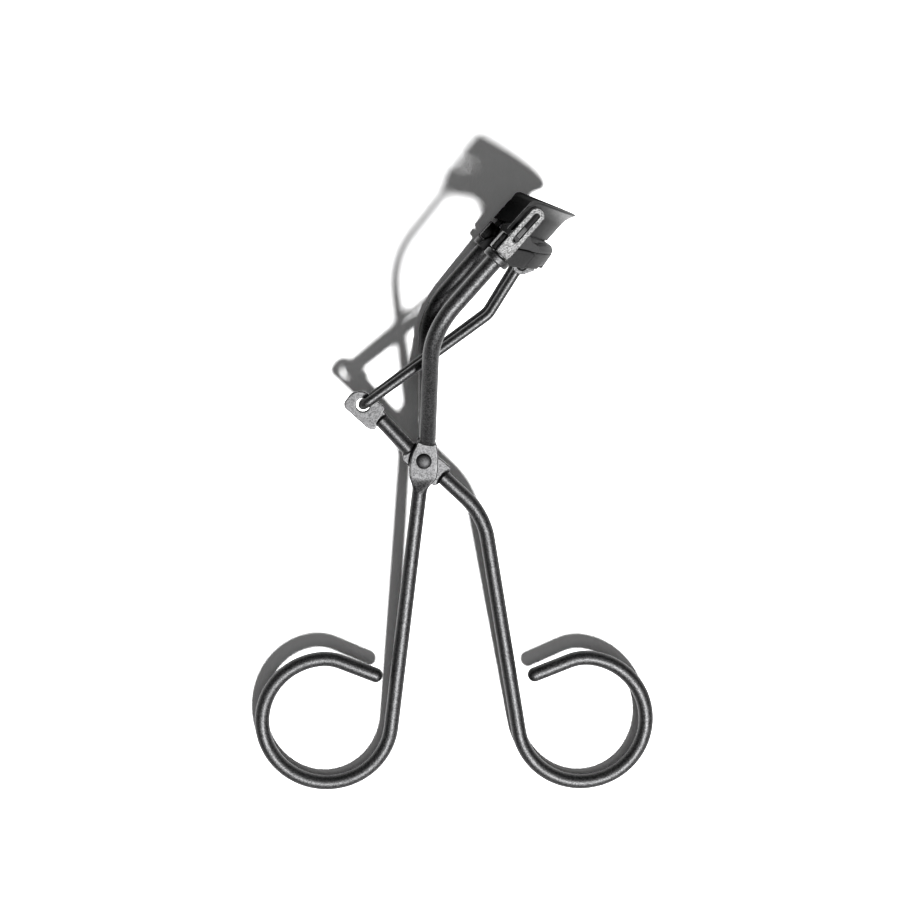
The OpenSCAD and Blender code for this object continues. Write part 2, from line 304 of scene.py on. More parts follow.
def box_loop(faces: int, sides: int, corners: int) -> BoxLoop:
    """Makes the shares of a rounded box's loop.

    It starts at the middle of the right side and goes anticlockwise: half a side, a corner,
    the top face, a corner, the left side, a corner, the bottom face, a corner, half a side.

    Args:
        faces: segments along the top and along the bottom, an even number.
        sides: segments along each side, an even number.
        corners: segments round each corner.

    Returns:
        The loop's shares.
    """
    turn = np.linspace(0.0, math.pi / 2, corners + 1)
    half = np.linspace(0.0, 1.0, sides // 2 + 1)[:-1]
    span = np.linspace(-1.0, 1.0, faces + 1)[1:-1]
    rise = np.linspace(-1.0, 1.0, sides + 1)[1:-1]
    one = np.ones
    zero = np.zeros
    n, m = len(half), corners + 1
    a = [one(n), one(m), -span, -one(m), -one(len(rise)), -one(m), span, one(m), one(n - 1)]
    b = [one(n), np.cos(turn), zero(len(span)), -np.sin(turn), -one(len(rise)), -np.cos(turn),
         zero(len(span)), np.sin(turn), one(n - 1)]
    c = [half, one(m), one(len(span)), one(m), -rise, -one(m), -one(len(span)), -one(m),
         -half[:0:-1]]
    d = [zero(n), np.sin(turn), one(len(span)), np.cos(turn), zero(len(rise)), -np.sin(turn),
         -one(len(span)), -np.cos(turn), zero(n - 1)]
    mark = [zero(n), one(m), zero(len(span)), one(m), zero(len(rise)), one(m), zero(len(span)), one(m),
            zero(n - 1)]
    return BoxLoop(*(np.concatenate(x) for x in (a, b, c, d, mark)))


def arc(centre: Array, radius: float, start: float, end: float, count: int = 90) -> Array:
    """Makes a flat arc: centre plus radius times the cosine and sine of the angle.

    Args:
        centre: the arc's centre.
        radius: the arc's radius.
        start: the first angle, in degrees.
        end: the last angle, in degrees.
        count: the number of points.

    Returns:
        The points.
    """
    a = np.radians(np.linspace(start, end, count))
    z = np.full_like(a, centre[2])
    return np.stack([centre[0] + radius * np.cos(a), centre[1] + radius * np.sin(a), z], -1)


def rounded_path(points: list[Array], radii: list[float], count: int = 24) -> Array:
    """Rounds the corners of a broken line.

    Each corner is replaced by the arc that touches both of its sides: the arc's centre stands
    at radius over the cosine of half the turn from the corner, on its inner side.

    Args:
        points: the line's corners, with its ends first and last.
        radii: the bend radius at each inner corner.
        count: points along each bend.

    Returns:
        Points along the line and its bends.
    """
    parts = [points[0][None]]
    for before, corner, after, radius in zip(points, points[1:], points[2:], radii):
        a, b = unit(corner - before), unit(after - corner)
        turn = math.acos(float(np.clip(a @ b, -1.0, 1.0)))
        if turn < STRAIGHT:
            continue
        inward = unit(b - a)
        centre = corner + inward * radius / math.cos(turn / 2)
        t = np.linspace(-turn / 2, turn / 2, count)[:, None]
        along = unit(a + b)
        parts.append(centre - inward * radius * np.cos(t) + along * radius * np.sin(t))
    parts.append(points[-1][None])
    return np.concatenate(parts)


def resample(path: Array, step: float, fine: float, spans: list[tuple[float, float]]) -> tuple[Array, Array]:
    """Walks a path with even steps, and with finer ones in some spans of its length.

    The density, one over the step, is summed along the length, and the even shares of that sum
    give the stations.

    Args:
        path: points along the path.
        step: usual distance between stations.
        fine: distance between stations in the spans.
        spans: pairs of lengths from the path's start.

    Returns:
        The stations' points and their lengths from the start.
    """
    length = run_lengths(path)
    dense = np.linspace(0.0, length[-1], DENSE_COUNT)
    inside = np.zeros_like(dense, bool)
    for low, high in spans:
        inside |= (dense >= low) & (dense <= high)
    density = np.where(inside, 1.0 / fine, 1.0 / step)
    total = np.concatenate([[0.0], np.cumsum((density[1:] + density[:-1]) / 2 * np.diff(dense))])
    count = int(math.ceil(total[-1])) + 1
    s = np.interp(np.linspace(0.0, total[-1], count), total, dense)
    return np.stack([np.interp(s, length, path[:, k]) for k in range(3)], -1), s


def frames(path: Array, upward: Array) -> tuple[Array, Array]:
    """Makes a frame at each point of a path.

    Args:
        path: points along the path.
        upward: a direction that the path never follows.

    Returns:
        At each point the sideways direction, which is the tangent crossed with up, and the up
        direction, which is upward less its share along the tangent.
    """
    tangent = unit(np.gradient(path, axis=0))
    up = unit(upward - (tangent @ upward)[:, None] * tangent)
    return np.cross(tangent, up), up


def carry(path: Array, upward: Array, across: Array, height: Array) -> Array:
    """Carries sections along a path: point plus across times sideways plus height times up."""
    side, up = frames(path, upward)
    return path[:, None] + across[..., None] * side[:, None] + height[..., None] * up[:, None]


def round_ends(s: Array, length: float, radius: Array, start: float, end: float) -> Array:
    """Shrinks a tube's radius at its ends so that they close as domes.

    Near an end with a dome of size q, at the distance x from it, the share of the radius is the
    square root of one minus the square of (1 - x / q).

    Args:
        s: lengths of the stations from the path's start.
        length: the whole length.
        radius: the tube's radius at each station.
        start: the dome's size at the start, or 0 for none.
        end: the dome's size at the end, or 0 for none.

    Returns:
        The radius at each station.
    """
    share = np.ones_like(s)
    if start > 0:
        share = share * np.sqrt(np.clip(1 - np.clip(1 - s / start, 0, 1) ** 2, 0.0, 1))
    if end > 0:
        share = share * np.sqrt(np.clip(1 - np.clip(1 - (length - s) / end, 0, 1) ** 2, 0.0, 1))
    return radius * np.maximum(share, SMALLEST_SHARE)


def ray_lengths(origin: Array, direction: Array, outline: Array) -> Array:
    """Finds how far each flat ray runs before it meets a closed outline.

    Each ray meets each side where origin plus t direction equals corner plus u side, with u from
    0 to 1, and the smallest positive t is kept.

    Args:
        origin: ray starts, with the shape (n, 2).
        direction: ray directions, with the shape (n, 2).
        outline: the outline's corners, with the shape (m, 2).

    Returns:
        The n lengths.
    """
    side = np.roll(outline, -1, axis=0) - outline
    gap = outline[None] - origin[:, None]
    cross = direction[:, None, 0] * side[None, :, 1] - direction[:, None, 1] * side[None, :, 0]
    safe = np.where(np.abs(cross) < NEARLY_ZERO, NEARLY_ZERO, cross)
    t = (gap[..., 0] * side[None, :, 1] - gap[..., 1] * side[None, :, 0]) / safe
    u = (gap[..., 0] * direction[:, None, 1] - gap[..., 1] * direction[:, None, 0]) / safe
    good = (u >= -HAIR) & (u <= 1 + HAIR) & (t > HAIR) & (np.abs(cross) > NEARLY_ZERO)
    return np.where(good, t, np.inf).min(axis=1)


def bell_average(padded: Array, reach: int) -> Array:
    """Averages each value with reach neighbours on both sides, weighted as a bell that adds up to 1."""
    weights = np.hanning(2 * reach + 3)[1:-1]
    return np.convolve(padded, weights / weights.sum(), mode="valid")


def ease_loop(values: Array, reach: int) -> Array:
    """Averages a closed row of values over reach neighbours on both sides."""
    return bell_average(np.concatenate([values[-reach:], values, values[:reach]]), reach)


def ease(values: Array, reach: int) -> Array:
    """Averages an open row of values over reach neighbours on both sides, with its ends held."""
    return bell_average(np.pad(values, reach, mode="edge"), reach)


WIDEST_ROUNDING = 0.4
PLATE_LOOP = box_loop(10, 4, 4)
BLOCK_LOOP = box_loop(6, 6, 4)


def holed_plate(inner: Array, outer: Array, low: float, high: float, radius: float) -> Shell:
    """Makes a flat plate with a hole: a rounded box's loop carried round between two outlines.

    Args:
        inner: the hole's outline, with the shape (n, 2).
        outer: the plate's outline at the same n stations.
        low: the lower face's height.
        high: the upper face's height.
        radius: rounding of the edges.

    Returns:
        The shell in its own flat frame, with Z as its thickness.
    """
    gap = np.linalg.norm(outer - inner, axis=1)
    r = np.minimum(radius, gap * WIDEST_ROUNDING)
    across, rise = PLATE_LOOP.place(gap / 2, np.full_like(gap, (high - low) / 2), r)
    ray = (outer - inner) / gap[:, None]
    flat_xy = inner[:, None] + ray[:, None] * (across + gap[:, None] / 2)[..., None]
    z = rise + (high + low) / 2
    grid = np.concatenate([flat_xy, z[..., None]], -1)
    top = (PLATE_LOOP.corner < 0.5)[None] & (np.abs(rise) > (high - low) / 2 - HAIR)
    return shell_from_grid(grid, True, top.astype(float), PLATE_LOOP.corner[None] * np.ones((len(gap), 1)))


def solid_plate(outline: Array, low: float, high: float, radius: float, rings: int = 7) -> Shell:
    """Makes a flat plate without a hole, from rings that shrink to the outline's middle.

    Down each rounded edge at the angle a, the rings lie one minus the sine of a times the radius
    inside the outline, and one minus the cosine of a times the radius below the face.

    Args:
        outline: the plate's outline, with the shape (n, 2), seen whole from its middle.
        low: the lower face's height.
        high: the upper face's height.
        radius: rounding of the edges.
        rings: rings on each face.

    Returns:
        The shell in its own flat frame, with Z as its thickness.
    """
    middle = outline.mean(0)
    reach = np.linalg.norm(outline - middle, axis=1)
    turn = np.linspace(0, math.pi / 2, BEND_STEPS)
    face = np.linspace(0.04, 1.0, rings)[:-1]
    whole, none = np.ones_like(face), np.zeros_like(face)
    share = np.concatenate([face, np.ones(2 * BEND_STEPS), face[::-1]])
    inset = np.concatenate([whole, 1 - np.sin(turn), 1 - np.cos(turn), whole])
    drop = np.concatenate([none, 1 - np.cos(turn), 1 - np.sin(turn), none])
    upper = len(drop) // 2
    z = np.concatenate([high - drop[:upper] * radius, low + drop[upper:] * radius])
    size = share[:, None] * (reach[None] - radius * inset[:, None])
    ray = (outline - middle) / reach[:, None]
    flat_xy = middle + ray[None] * size[..., None]
    grid = np.concatenate([flat_xy, np.broadcast_to(z[:, None, None], (len(z), len(outline), 1))], -1)
    return shell_from_grid(grid, False)


def block(x: tuple[float, float], y: tuple[float, float], z: tuple[float, float], radius: float) -> Shell:
    """Makes a box with rounded edges, as a rounded box's loop carried along its Y.

    Args:
        x: lowest and highest X.
        y: lowest and highest Y.
        z: lowest and highest Z.
        radius: rounding of the edges.

    Returns:
        The shell in the same frame.
    """
    turn = np.linspace(0, math.pi / 2, BEND_STEPS)
    inset = np.concatenate([1 - np.sin(turn), 1 - np.cos(turn)]) * radius
    place = np.concatenate([y[0] + radius * (1 - np.cos(turn)), y[1] - radius * (1 - np.sin(turn))])
    rows = np.ones_like(place)
    half_x, half_z = (x[1] - x[0]) / 2, (z[1] - z[0]) / 2
    across, rise = BLOCK_LOOP.place(half_x * rows - inset, half_z * rows - inset, rows * radius * 0.8)
    middle_x, middle_z = (x[0] + x[1]) / 2, (z[0] + z[1]) / 2
    grid = np.stack([across + middle_x, place[:, None] + 0 * across, rise + middle_z], -1)
    return shell_from_grid(grid, False, None, BLOCK_LOOP.corner[None] * np.ones((len(place), 1)))


# ---------------------------------------------------------------- materials


class Socket:
    """A shader value: Python's operators on it add Math nodes."""

    def __init__(self, shader: "Shader", socket: bpy.types.NodeSocket) -> None:
        """Keeps the socket and the shader that it belongs to."""
        self.shader = shader
        self.socket = socket

    def __add__(self, other: "Socket | float") -> "Socket":
        """Returns self plus other."""
        return self.shader.maths("ADD", self, other)

    def __radd__(self, other: float) -> "Socket":
        """Returns other plus self."""
        return self.shader.maths("ADD", other, self)

    def __sub__(self, other: "Socket | float") -> "Socket":
        """Returns self minus other."""
        return self.shader.maths("SUBTRACT", self, other)

    def __rsub__(self, other: float) -> "Socket":
        """Returns other minus self."""
        return self.shader.maths("SUBTRACT", other, self)

    def __mul__(self, other: "Socket | float") -> "Socket":
        """Returns self times other."""
        return self.shader.maths("MULTIPLY", self, other)

    def __rmul__(self, other: float) -> "Socket":
        """Returns other times self."""
        return self.shader.maths("MULTIPLY", other, self)

    def clamp(self) -> "Socket":
        """Returns the value held between 0 and 1."""
        return self.shader.maths("ADD", self, 0.0, use_clamp=True)


class Shader:
    """One material's node tree around a Principled BSDF."""

    def __init__(self, name: str) -> None:
        """Makes an empty material with its shader and output."""
        self.material = bpy.data.materials.new(name)
        self.material.use_nodes = True
        self.tree = self.material.node_tree
        self.tree.nodes.clear()
        output = self.tree.nodes.new("ShaderNodeOutputMaterial")
        self.bsdf = self.tree.nodes.new("ShaderNodeBsdfPrincipled")
        self.tree.links.new(self.bsdf.outputs[0], output.inputs["Surface"])
        coords = self.tree.nodes.new("ShaderNodeTexCoord")
        self.place = Socket(self, coords.outputs["Object"])

    def node(self, kind: str, settings: dict[str, object], inputs: dict[object, object]) -> bpy.types.Node:
        """Adds a node.

        Args:
            kind: the node's type name.
            settings: properties that are set first.
            inputs: values or Sockets by input name or number.

        Returns:
            The node.
        """
        made = self.tree.nodes.new(kind)
        for key, value in settings.items():
            setattr(made, key, value)
        for key, value in inputs.items():
            if isinstance(value, Socket):
                self.tree.links.new(value.socket, made.inputs[key])
            else:
                made.inputs[key].default_value = value
        return made

    def maths(
        self, operation: str, a: "Socket | float", b: "Socket | float", use_clamp: bool = False
    ) -> Socket:
        """Returns the result of a Math node on a and b."""
        settings = {"operation": operation, "use_clamp": use_clamp}
        return Socket(self, self.node("ShaderNodeMath", settings, {0: a, 1: b}).outputs[0])

    def noise(self, size_mm: float, detail: float = 2.0, roughness: float = 0.5) -> Socket:
        """Makes a noise value.

        Args:
            size_mm: about how wide its features are.
            detail: how many finer layers it has.
            roughness: how strong the finer layers are.

        Returns:
            The value, around 0.5.
        """
        scale = 1.0 / (size_mm * MM)
        inputs = {"Vector": self.place, "Scale": scale, "Detail": detail, "Roughness": roughness}
        return Socket(self, self.node("ShaderNodeTexNoise", {}, inputs).outputs["Fac"])

    def attribute(self, name: str) -> Socket:
        """Returns a point value that the mesh carries."""
        return Socket(self, self.node("ShaderNodeAttribute", {"attribute_name": name}, {}).outputs["Fac"])

    def ramp(self, value: Socket, low: float, high: float) -> Socket:
        """Turns a value into a smooth step.

        Args:
            value: the value.
            low: where the step leaves 0.
            high: where the step reaches 1.

        Returns:
            The step, from 0 to 1.
        """
        inputs = {"Value": value, "From Min": low, "From Max": high}
        made = self.node("ShaderNodeMapRange", {"interpolation_type": "SMOOTHSTEP"}, inputs)
        return Socket(self, made.outputs["Result"])

    def blend(self, factor: Socket, a: object, b: object) -> Socket:
        """Mixes two colours.

        Args:
            factor: the share of b.
            a: the colour where the factor is 0.
            b: the colour where the factor is 1.

        Returns:
            The mixed colour.
        """
        made = self.tree.nodes.new("ShaderNodeMix")
        made.data_type = "RGBA"
        for key, value in ((0, factor), (6, a), (7, b)):
            if isinstance(value, Socket):
                self.tree.links.new(value.socket, made.inputs[key])
            else:
                made.inputs[key].default_value = (*value, 1.0)
        return Socket(self, made.outputs[2])

    def feed(self, name: str, value: Socket) -> None:
        """Links a value to one of the shader's sockets."""
        self.tree.links.new(value.socket, self.bsdf.inputs[name])

    def bump(self, height: Socket, depth_mm: float) -> None:
        """Feeds the shader's normal from a height.

        Args:
            height: the height, from 0 to 1.
            depth_mm: the height's full range.
        """
        inputs = {"Strength": 1.0, "Distance": depth_mm * MM, "Height": height}
        made = self.node("ShaderNodeBump", {}, inputs)
        self.tree.links.new(made.outputs[0], self.bsdf.inputs["Normal"])


@dataclass(frozen=True)
class PlatedSteel:
    """Dark plated steel with a fine pebbled grain, rougher where it was forged flat; the flat faces take the
    paler tone as a painted highlight.
    """

    name: str
    tone: tuple[float, float, float]
    pale_and_sheen: tuple[float, float, float]
    roughness: float
    flat_roughness: float
    grain_mm: float = 0.26
    grain_depth: float = 0.02
    fleck: float = 0.5
    pebble_ratio: float = 2.3
    fine_share: float = 0.85
    fleck_span: tuple[float, float] = (0.38, 0.62)
    worn_span: tuple[float, float] = (0.62, 0.95)
    edge_wear: float = 0.35
    worn_share: float = 0.5
    worn_gain: float = 1.6
    cloud_mm: float = 4.0
    fine_gloss: float = 0.16
    cloud_gloss: float = 0.10

    def flecked(self, shader: Shader, fleck: Socket, tone: tuple[float, float, float]) -> Socket:
        """Returns the tone as a colour that runs from less to more of itself with the flecks."""
        low, high = (tuple(x * gain for x in tone) for gain in (1.0 - self.fleck, 1.0 + self.fleck))
        return shader.blend(fleck, low, high)

    def make(self) -> bpy.types.Material:
        """Returns the material."""
        shader = Shader(self.name)
        flat = shader.attribute("flat")
        edge = shader.attribute("edge")
        fine = shader.noise(self.grain_mm, 2.5, 0.6)
        pebble = shader.noise(self.grain_mm * self.pebble_ratio, 1.5, 0.5)
        cloud = shader.noise(self.cloud_mm, 3.0, 0.6)
        grain = self.fine_share * fine + (1.0 - self.fine_share) * pebble
        fleck = shader.ramp(grain, *self.fleck_span)
        worn = shader.ramp(pebble + edge * self.edge_wear, *self.worn_span)
        # Painted highlight: faces marked flat take the paler tone instead of the dark one. Worn spots
        # brighten towards the same tone as real wear.
        dark, light = (self.flecked(shader, fleck, tone) for tone in (self.tone, self.pale_and_sheen))
        tint = shader.blend(flat, dark, light)
        bright = tuple(x * self.worn_gain for x in self.pale_and_sheen)
        shader.feed("Base Color", shader.blend(worn * self.worn_share, tint, bright))
        base = self.roughness + (self.flat_roughness - self.roughness) * flat
        gloss = base + self.fine_gloss * (fine - 0.5) + self.cloud_gloss * (cloud - 0.5)
        shader.feed("Roughness", gloss.clamp())
        shader.bump(grain, self.grain_depth)
        shader.bsdf.inputs["Metallic"].default_value = 1.0
        return shader.material


@dataclass(frozen=True)
class BlackPaint:
    """Black enamel on sheet steel: a smooth dark coat that clears to bare metal at its worn edges, and takes
    the bare colour where the mesh's flat value is set, which on the jaw's outer band is a painted highlight.
    """

    name: str
    tone: tuple[float, float, float]
    bloom: tuple[float, float, float]
    bare_and_sheen: tuple[float, float, float]
    roughness: float
    cloud_mm: float = 2.5
    fine_mm: float = 0.3
    bloom_span: tuple[float, float] = (0.4, 0.7)
    worn_span: tuple[float, float] = (0.6, 0.8)
    fine_share: float = 0.6
    edge_wear: float = 0.25
    worn_share: float = 0.5
    fine_gloss: float = 0.15
    cloud_gloss: float = 0.12
    depth_mm: float = 0.008
    reflection: float = 0.06

    def make(self) -> bpy.types.Material:
        """Returns the material."""
        shader = Shader(self.name)
        flat = shader.attribute("flat")
        cloud = shader.noise(self.cloud_mm, 4.0, 0.6)
        fine = shader.noise(self.fine_mm, 2.0, 0.5)
        rub = self.fine_share * fine + (1.0 - self.fine_share) * cloud
        worn = shader.ramp(rub + self.edge_wear * shader.attribute("edge"), *self.worn_span)
        coat = shader.blend(shader.ramp(cloud, *self.bloom_span), self.tone, self.bloom)
        rubbed = shader.blend(worn * self.worn_share, coat, self.bare_and_sheen)
        # Where flat is set the coat gives way to the bare colour: a painted highlight on the jaw's outer
        # band, and bare metal on the end tabs.
        shader.feed("Base Color", shader.blend(flat, rubbed, self.bare_and_sheen))
        gloss = self.roughness + self.fine_gloss * (fine - 0.5) + self.cloud_gloss * (cloud - 0.5)
        shader.feed("Roughness", gloss.clamp())
        shader.feed("Metallic", flat)
        shader.bump(fine, self.depth_mm)
        shader.bsdf.inputs["Specular IOR Level"].default_value = self.reflection
        return shader.material


@dataclass(frozen=True)
class Rubber:
    """Matte black moulded silicone with a faint bloom."""

    name: str
    tone: tuple[float, float, float]
    bloom: tuple[float, float, float]
    roughness: float
    cloud_mm: float = 1.8
    fine_mm: float = 0.22
    bloom_span: tuple[float, float] = (0.4, 0.7)
    fine_gloss: float = 0.2
    cloud_gloss: float = 0.12
    depth_mm: float = 0.012
    reflection: float = 0.2

    def make(self) -> bpy.types.Material:
        """Returns the material."""
        shader = Shader(self.name)
        cloud = shader.noise(self.cloud_mm, 4.0, 0.6)
        fine = shader.noise(self.fine_mm, 2.0, 0.5)
        shader.feed("Base Color", shader.blend(shader.ramp(cloud, *self.bloom_span), self.tone, self.bloom))
        gloss = self.roughness + self.fine_gloss * (fine - 0.5) + self.cloud_gloss * (cloud - 0.5)
        shader.feed("Roughness", gloss.clamp())
        shader.bump(fine, self.depth_mm)
        shader.bsdf.inputs["Specular IOR Level"].default_value = self.reflection
        return shader.material


class Finish(Enum):
    """The finishes of the tool's pieces."""

    ROD = PlatedSteel(
        "gunmetal_plate", (0.031, 0.031, 0.0315), (0.033, 0.033, 0.0335), roughness=0.48, flat_roughness=0.5,
        grain_mm=0.22, grain_depth=0.03, fleck=0.5)
    # The guides' sides and rounded edges take the near-black tone as painted shade. Their flat faces take
    # the pale tone as a painted highlight.
    GUIDE = PlatedSteel(
        "pale_plate", (0.003, 0.003, 0.003), (0.036, 0.036, 0.036), roughness=0.5, flat_roughness=0.44,
        grain_mm=0.24, grain_depth=0.035, fleck=0.6)
    RIVET = PlatedSteel(
        "rivet_plate", (0.022, 0.022, 0.0225), (0.03, 0.03, 0.03), roughness=0.52, flat_roughness=0.52,
        grain_mm=0.3, grain_depth=0.012, fleck=0.3)
    SHEET = BlackPaint(
        "black_sheet", (0.004, 0.004, 0.0041), (0.008, 0.008, 0.0081), (0.02, 0.02, 0.0201), roughness=0.55)
    PAD = Rubber("lash_rubber", (0.006, 0.006, 0.0063), (0.010, 0.010, 0.0103), roughness=0.7)


_made: dict[Finish, bpy.types.Material] = {}


def finish_of(kind: Finish) -> bpy.types.Material:
    """Returns a finish's material, made once."""
    if kind not in _made:
        _made[kind] = kind.value.make()
    return _made[kind]


# ---------------------------------------------------------------- pieces


@dataclass(frozen=True)
class Fitting:
    """Where a piece belongs: its name, the body it rides on, its slot, and the node it stands for."""

    name: str
    body: str
    slot: str
    node: str
    finish: Finish
    sharp: float = 50.0

    def place(self, shells: list[Shell]) -> bpy.types.Object:
        """Joins shells into one object, lays it in the shared frame and dresses it.

        Args:
            shells: the piece's closed surfaces, in the tool frame in millimetres.

        Returns:
            The object.
        """
        starts = np.cumsum([0] + [len(shell.points) for shell in shells])
        points = LAY.to_row(np.concatenate([shell.points for shell in shells]))
        faces = []
        for start, shell in zip(starts, shells):
            faces += (shell.quads + start).tolist()
            faces += (shell.tris + start).tolist()
        mesh = bpy.data.meshes.new(self.name)
        mesh.from_pydata(points.tolist(), [], faces)
        for key in ("flat", "edge"):
            values = np.concatenate([getattr(shell, key) for shell in shells])
            mesh.attributes.new(key, "FLOAT", "POINT").data.foreach_set("value", values.astype(np.float32))
        mesh.polygons.foreach_set("use_smooth", np.ones(len(faces), bool))
        mesh.set_sharp_from_angle(angle=math.radians(self.sharp))
        mesh.materials.append(finish_of(self.finish))
        piece = bpy.data.objects.new(self.name, mesh)
        bpy.context.scene.collection.objects.link(piece)
        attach(piece, self.body)
        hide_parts(self.node)
        LOG.info("%s: %d points, %d faces, rides on %s", self.name, len(points), len(faces), self.body)
        return piece


FAR_SIDE = vec(1, 1, -1)


def mirrored(shells: list[Shell]) -> list[Shell]:
    """Returns the shells reflected to the tool's far side, facing outwards again."""
    return [shell.moved(shell.points * FAR_SIDE) for shell in shells]


SIDES = (("near", list), ("far", mirrored))


def in_head(shell: Shell) -> Shell:
    """Moves a shell from head coordinates into the tool frame."""
    return shell.moved(TOOL.head(*shell.points.T))


ROD_LOOP = box_loop(14, 4, 5)
ROD_CORNER = 0.22
FAR_FROM_PLATE = -30.0


@dataclass
class ForgedRod:
    """A round wire that is pressed flat over some stretches of its length.

    At each station the section is a mix of a circle and a rounded box. The share of the box is a
    smooth step along the length, shifted by the square of the distance across, so that a flat
    ends in an arc as a pressing tool leaves it.
    """

    path: Array
    s: Array
    radius: Array
    left: Array
    right: Array
    half_t: Array
    share: Array
    up: Array = field(default_factory=lambda: vec(0, 0, 1))

    def shell(self) -> Shell:
        """Returns the rod's closed surface in the tool frame."""
        count = ROD_LOOP.size()
        turn = 2 * math.pi * np.arange(count) / count
        round_u = self.radius[:, None] * np.cos(turn)
        round_v = self.radius[:, None] * np.sin(turn)
        width, shift = (self.left + self.right) / 2, (self.right - self.left) / 2
        box_u, box_v = ROD_LOOP.place(width, self.half_t, np.minimum(ROD_CORNER, self.half_t * 0.9))
        box_u = box_u + shift[:, None]
        share = self.share
        u = round_u + (box_u - round_u) * share
        v = round_v + (box_v - round_v) * share
        grid = carry(self.path, self.up, u, v)
        # Top and bottom faces of the flats, which the material paints in its paler tone as a painted
        # highlight.
        faced = share * (np.abs(ROD_LOOP.c) > 0.99) * (ROD_LOOP.corner < 0.5)
        return shell_from_grid(grid, False, faced, ROD_LOOP.corner * share ** 4)


Step = tuple[float, float, float]


def box_share(s: Array, start: Step, end: Step, u: Array) -> Array:
    """Gives the share of flat at each station and across: a smooth rise times a smooth fall.

    Args:
        s: lengths of the stations.
        start: where the flat begins on the middle line, how it bows with the square of the
            distance across, and the length of the step.
        end: the same where it ends.
        u: distance across at each point of the section, one row for each station.

    Returns:
        The share, from 0 to 1.
    """
    rise = smooth((s[:, None] - start[0] - start[1] * u * u) / start[2])
    fall = smooth((end[0] + end[1] * u * u - s[:, None]) / end[2])
    return rise * fall


def across_of(left: Array, right: Array) -> Array:
    """Returns the distance across at each point of the rod's loop, for half widths left and right."""
    width, shift = (left + right) / 2, (right - left) / 2
    return ROD_LOOP.a * width[:, None] + shift[:, None]


@dataclass
class RingPath:
    """A finger ring: a short straight tail, a tighter bend, and the ring up to the shank."""

    centre: tuple[float, float]
    shank_angle: float
    ring_exit: float = 7.5
    tail_turn: float = 29.5
    tail_r: float = 8.0
    tail_len: float = 6.4

    def points(self) -> Array:
        """Returns points from the tail's tip round to the shank, anticlockwise from above.

        The tail's arc stands inside the ring and touches it at the exit angle, and the ring's own
        arc then runs to a quarter turn past the shank's angle.
        """
        c = vec(*self.centre, 0.0)
        leave = 90 + self.ring_exit
        last = leave - self.tail_turn
        tail_c = c + (TOOL.ring_r - self.tail_r) * heading(leave)
        tail_start = tail_c + self.tail_r * heading(last)
        along = heading(last - 90)
        tip = tail_start + (self.tail_len + TOOL.rod_r) * along
        straight = tip + (tail_start - tip) * np.linspace(0, 1, 12)[:, None]
        small = arc(tail_c, self.tail_r, last, leave)
        large = arc(c, TOOL.ring_r, leave, self.shank_angle + 90, 400)
        return np.concatenate([straight[:-1], small, large[1:]])


@dataclass
class FrameHandle:
    """The near handle: ring, shank, forged plate and near arm, in one wire."""

    shank_angle: float = 263.8
    shank_top: tuple[float, float] = (-0.75, -5.5)
    foot: tuple[float, float] = (0.65, 3.7)
    plate_y: tuple[float, ...] = (-9.0, -7.0, -5.6, -4.9, -4.1, -3.0, -0.8, 0.4, 1.8, 3.6, 4.6)
    plate_left: tuple[float, ...] = (-2.35, -2.1, -2.0, -2.3, -2.45, -2.5, -2.5, -2.3, -1.8, -1.0, -0.74)
    plate_right: tuple[float, ...] = (0.1, 0.3, 0.5, 1.3, 1.85, 2.15, 2.45, 2.5, 2.5, 2.15, 2.05)
    flat_from: float = -9.8
    flat_to: float = 2.95
    step: float = 0.35
    arm_swell: tuple[float, float] = (3.0, 1.5)
    tip_span: float = 1.4
    part: Fitting = Fitting("frame_handle_wire", "frame", "plated_rod", "frame_handle", Finish.ROD)

    def centre_line(self) -> Array:
        """Returns the wire's middle line: the ring and shank lean up to the plate, and the arm rises."""
        ring = RingPath(TOOL.frame_ring, self.shank_angle).points()
        low = TOOL.frame_ring[1] - TOOL.ring_r
        slope = math.atan(TOOL.plate_z / (TOOL.pivot[1] - 5 - low))
        flat = np.concatenate([ring, vec(*self.shank_top, 0.0)[None]])
        leaned = flat.copy()
        leaned[:, 1] = low + (flat[:, 1] - low) * math.cos(slope)
        leaned[:, 2] = (flat[:, 1] - low) * math.sin(slope)
        corner, end = TOOL.arm_points()
        foot = vec(*self.foot, TOOL.plate_z)
        middle = vec(-0.1, 0.0, TOOL.plate_z)
        upper = rounded_path([leaned[-1], middle, foot, corner, end], [20.0, 2.2, TOOL.arm_bend_r])
        return np.concatenate([leaned[:-1], upper])

    def build(self) -> bpy.types.Object:
        """Builds the piece.

        Returns:
            The object.
        """
        line = self.centre_line()
        length = run_lengths(line)
        total = float(length[-1])
        rising = length > total * 0.5

        def at_height(y: float) -> float:
            """Returns the length at which the upper half of the wire reaches a height."""
            return float(np.interp(y, line[rising, 1], length[rising]))

        path, s = resample(line, COARSE, FINE, [(0.0, self.tip_span), (at_height(-9.5), at_height(5.0))])
        y = np.where(s > total * 0.5, path[:, 1], FAR_FROM_PLATE)
        arm = smooth((y - self.arm_swell[0]) / self.arm_swell[1])
        radius = TOOL.rod_r + (TOOL.arm_r - TOOL.rod_r) * arm
        left = ease(path[:, 0] - np.interp(y, self.plate_y, self.plate_left), 4)
        right = ease(np.interp(y, self.plate_y, self.plate_right) - path[:, 0], 4)
        inside = (y > self.plate_y[0]) & (y < self.plate_y[-1])
        left, right = np.where(inside, left, radius), np.where(inside, right, radius)
        start = at_height(self.flat_from)
        end = at_height(self.flat_to)
        share = box_share(s, (start, 0.1, 2.8), (end + self.step, 0.2, self.step), across_of(left, right))
        radius = round_ends(s, total, radius, TOOL.rod_r, 0.0)
        rod = ForgedRod(path, s, radius, left, right, np.full_like(s, TOOL.plate_t / 2), share)
        return self.part.place([rod.shell()])


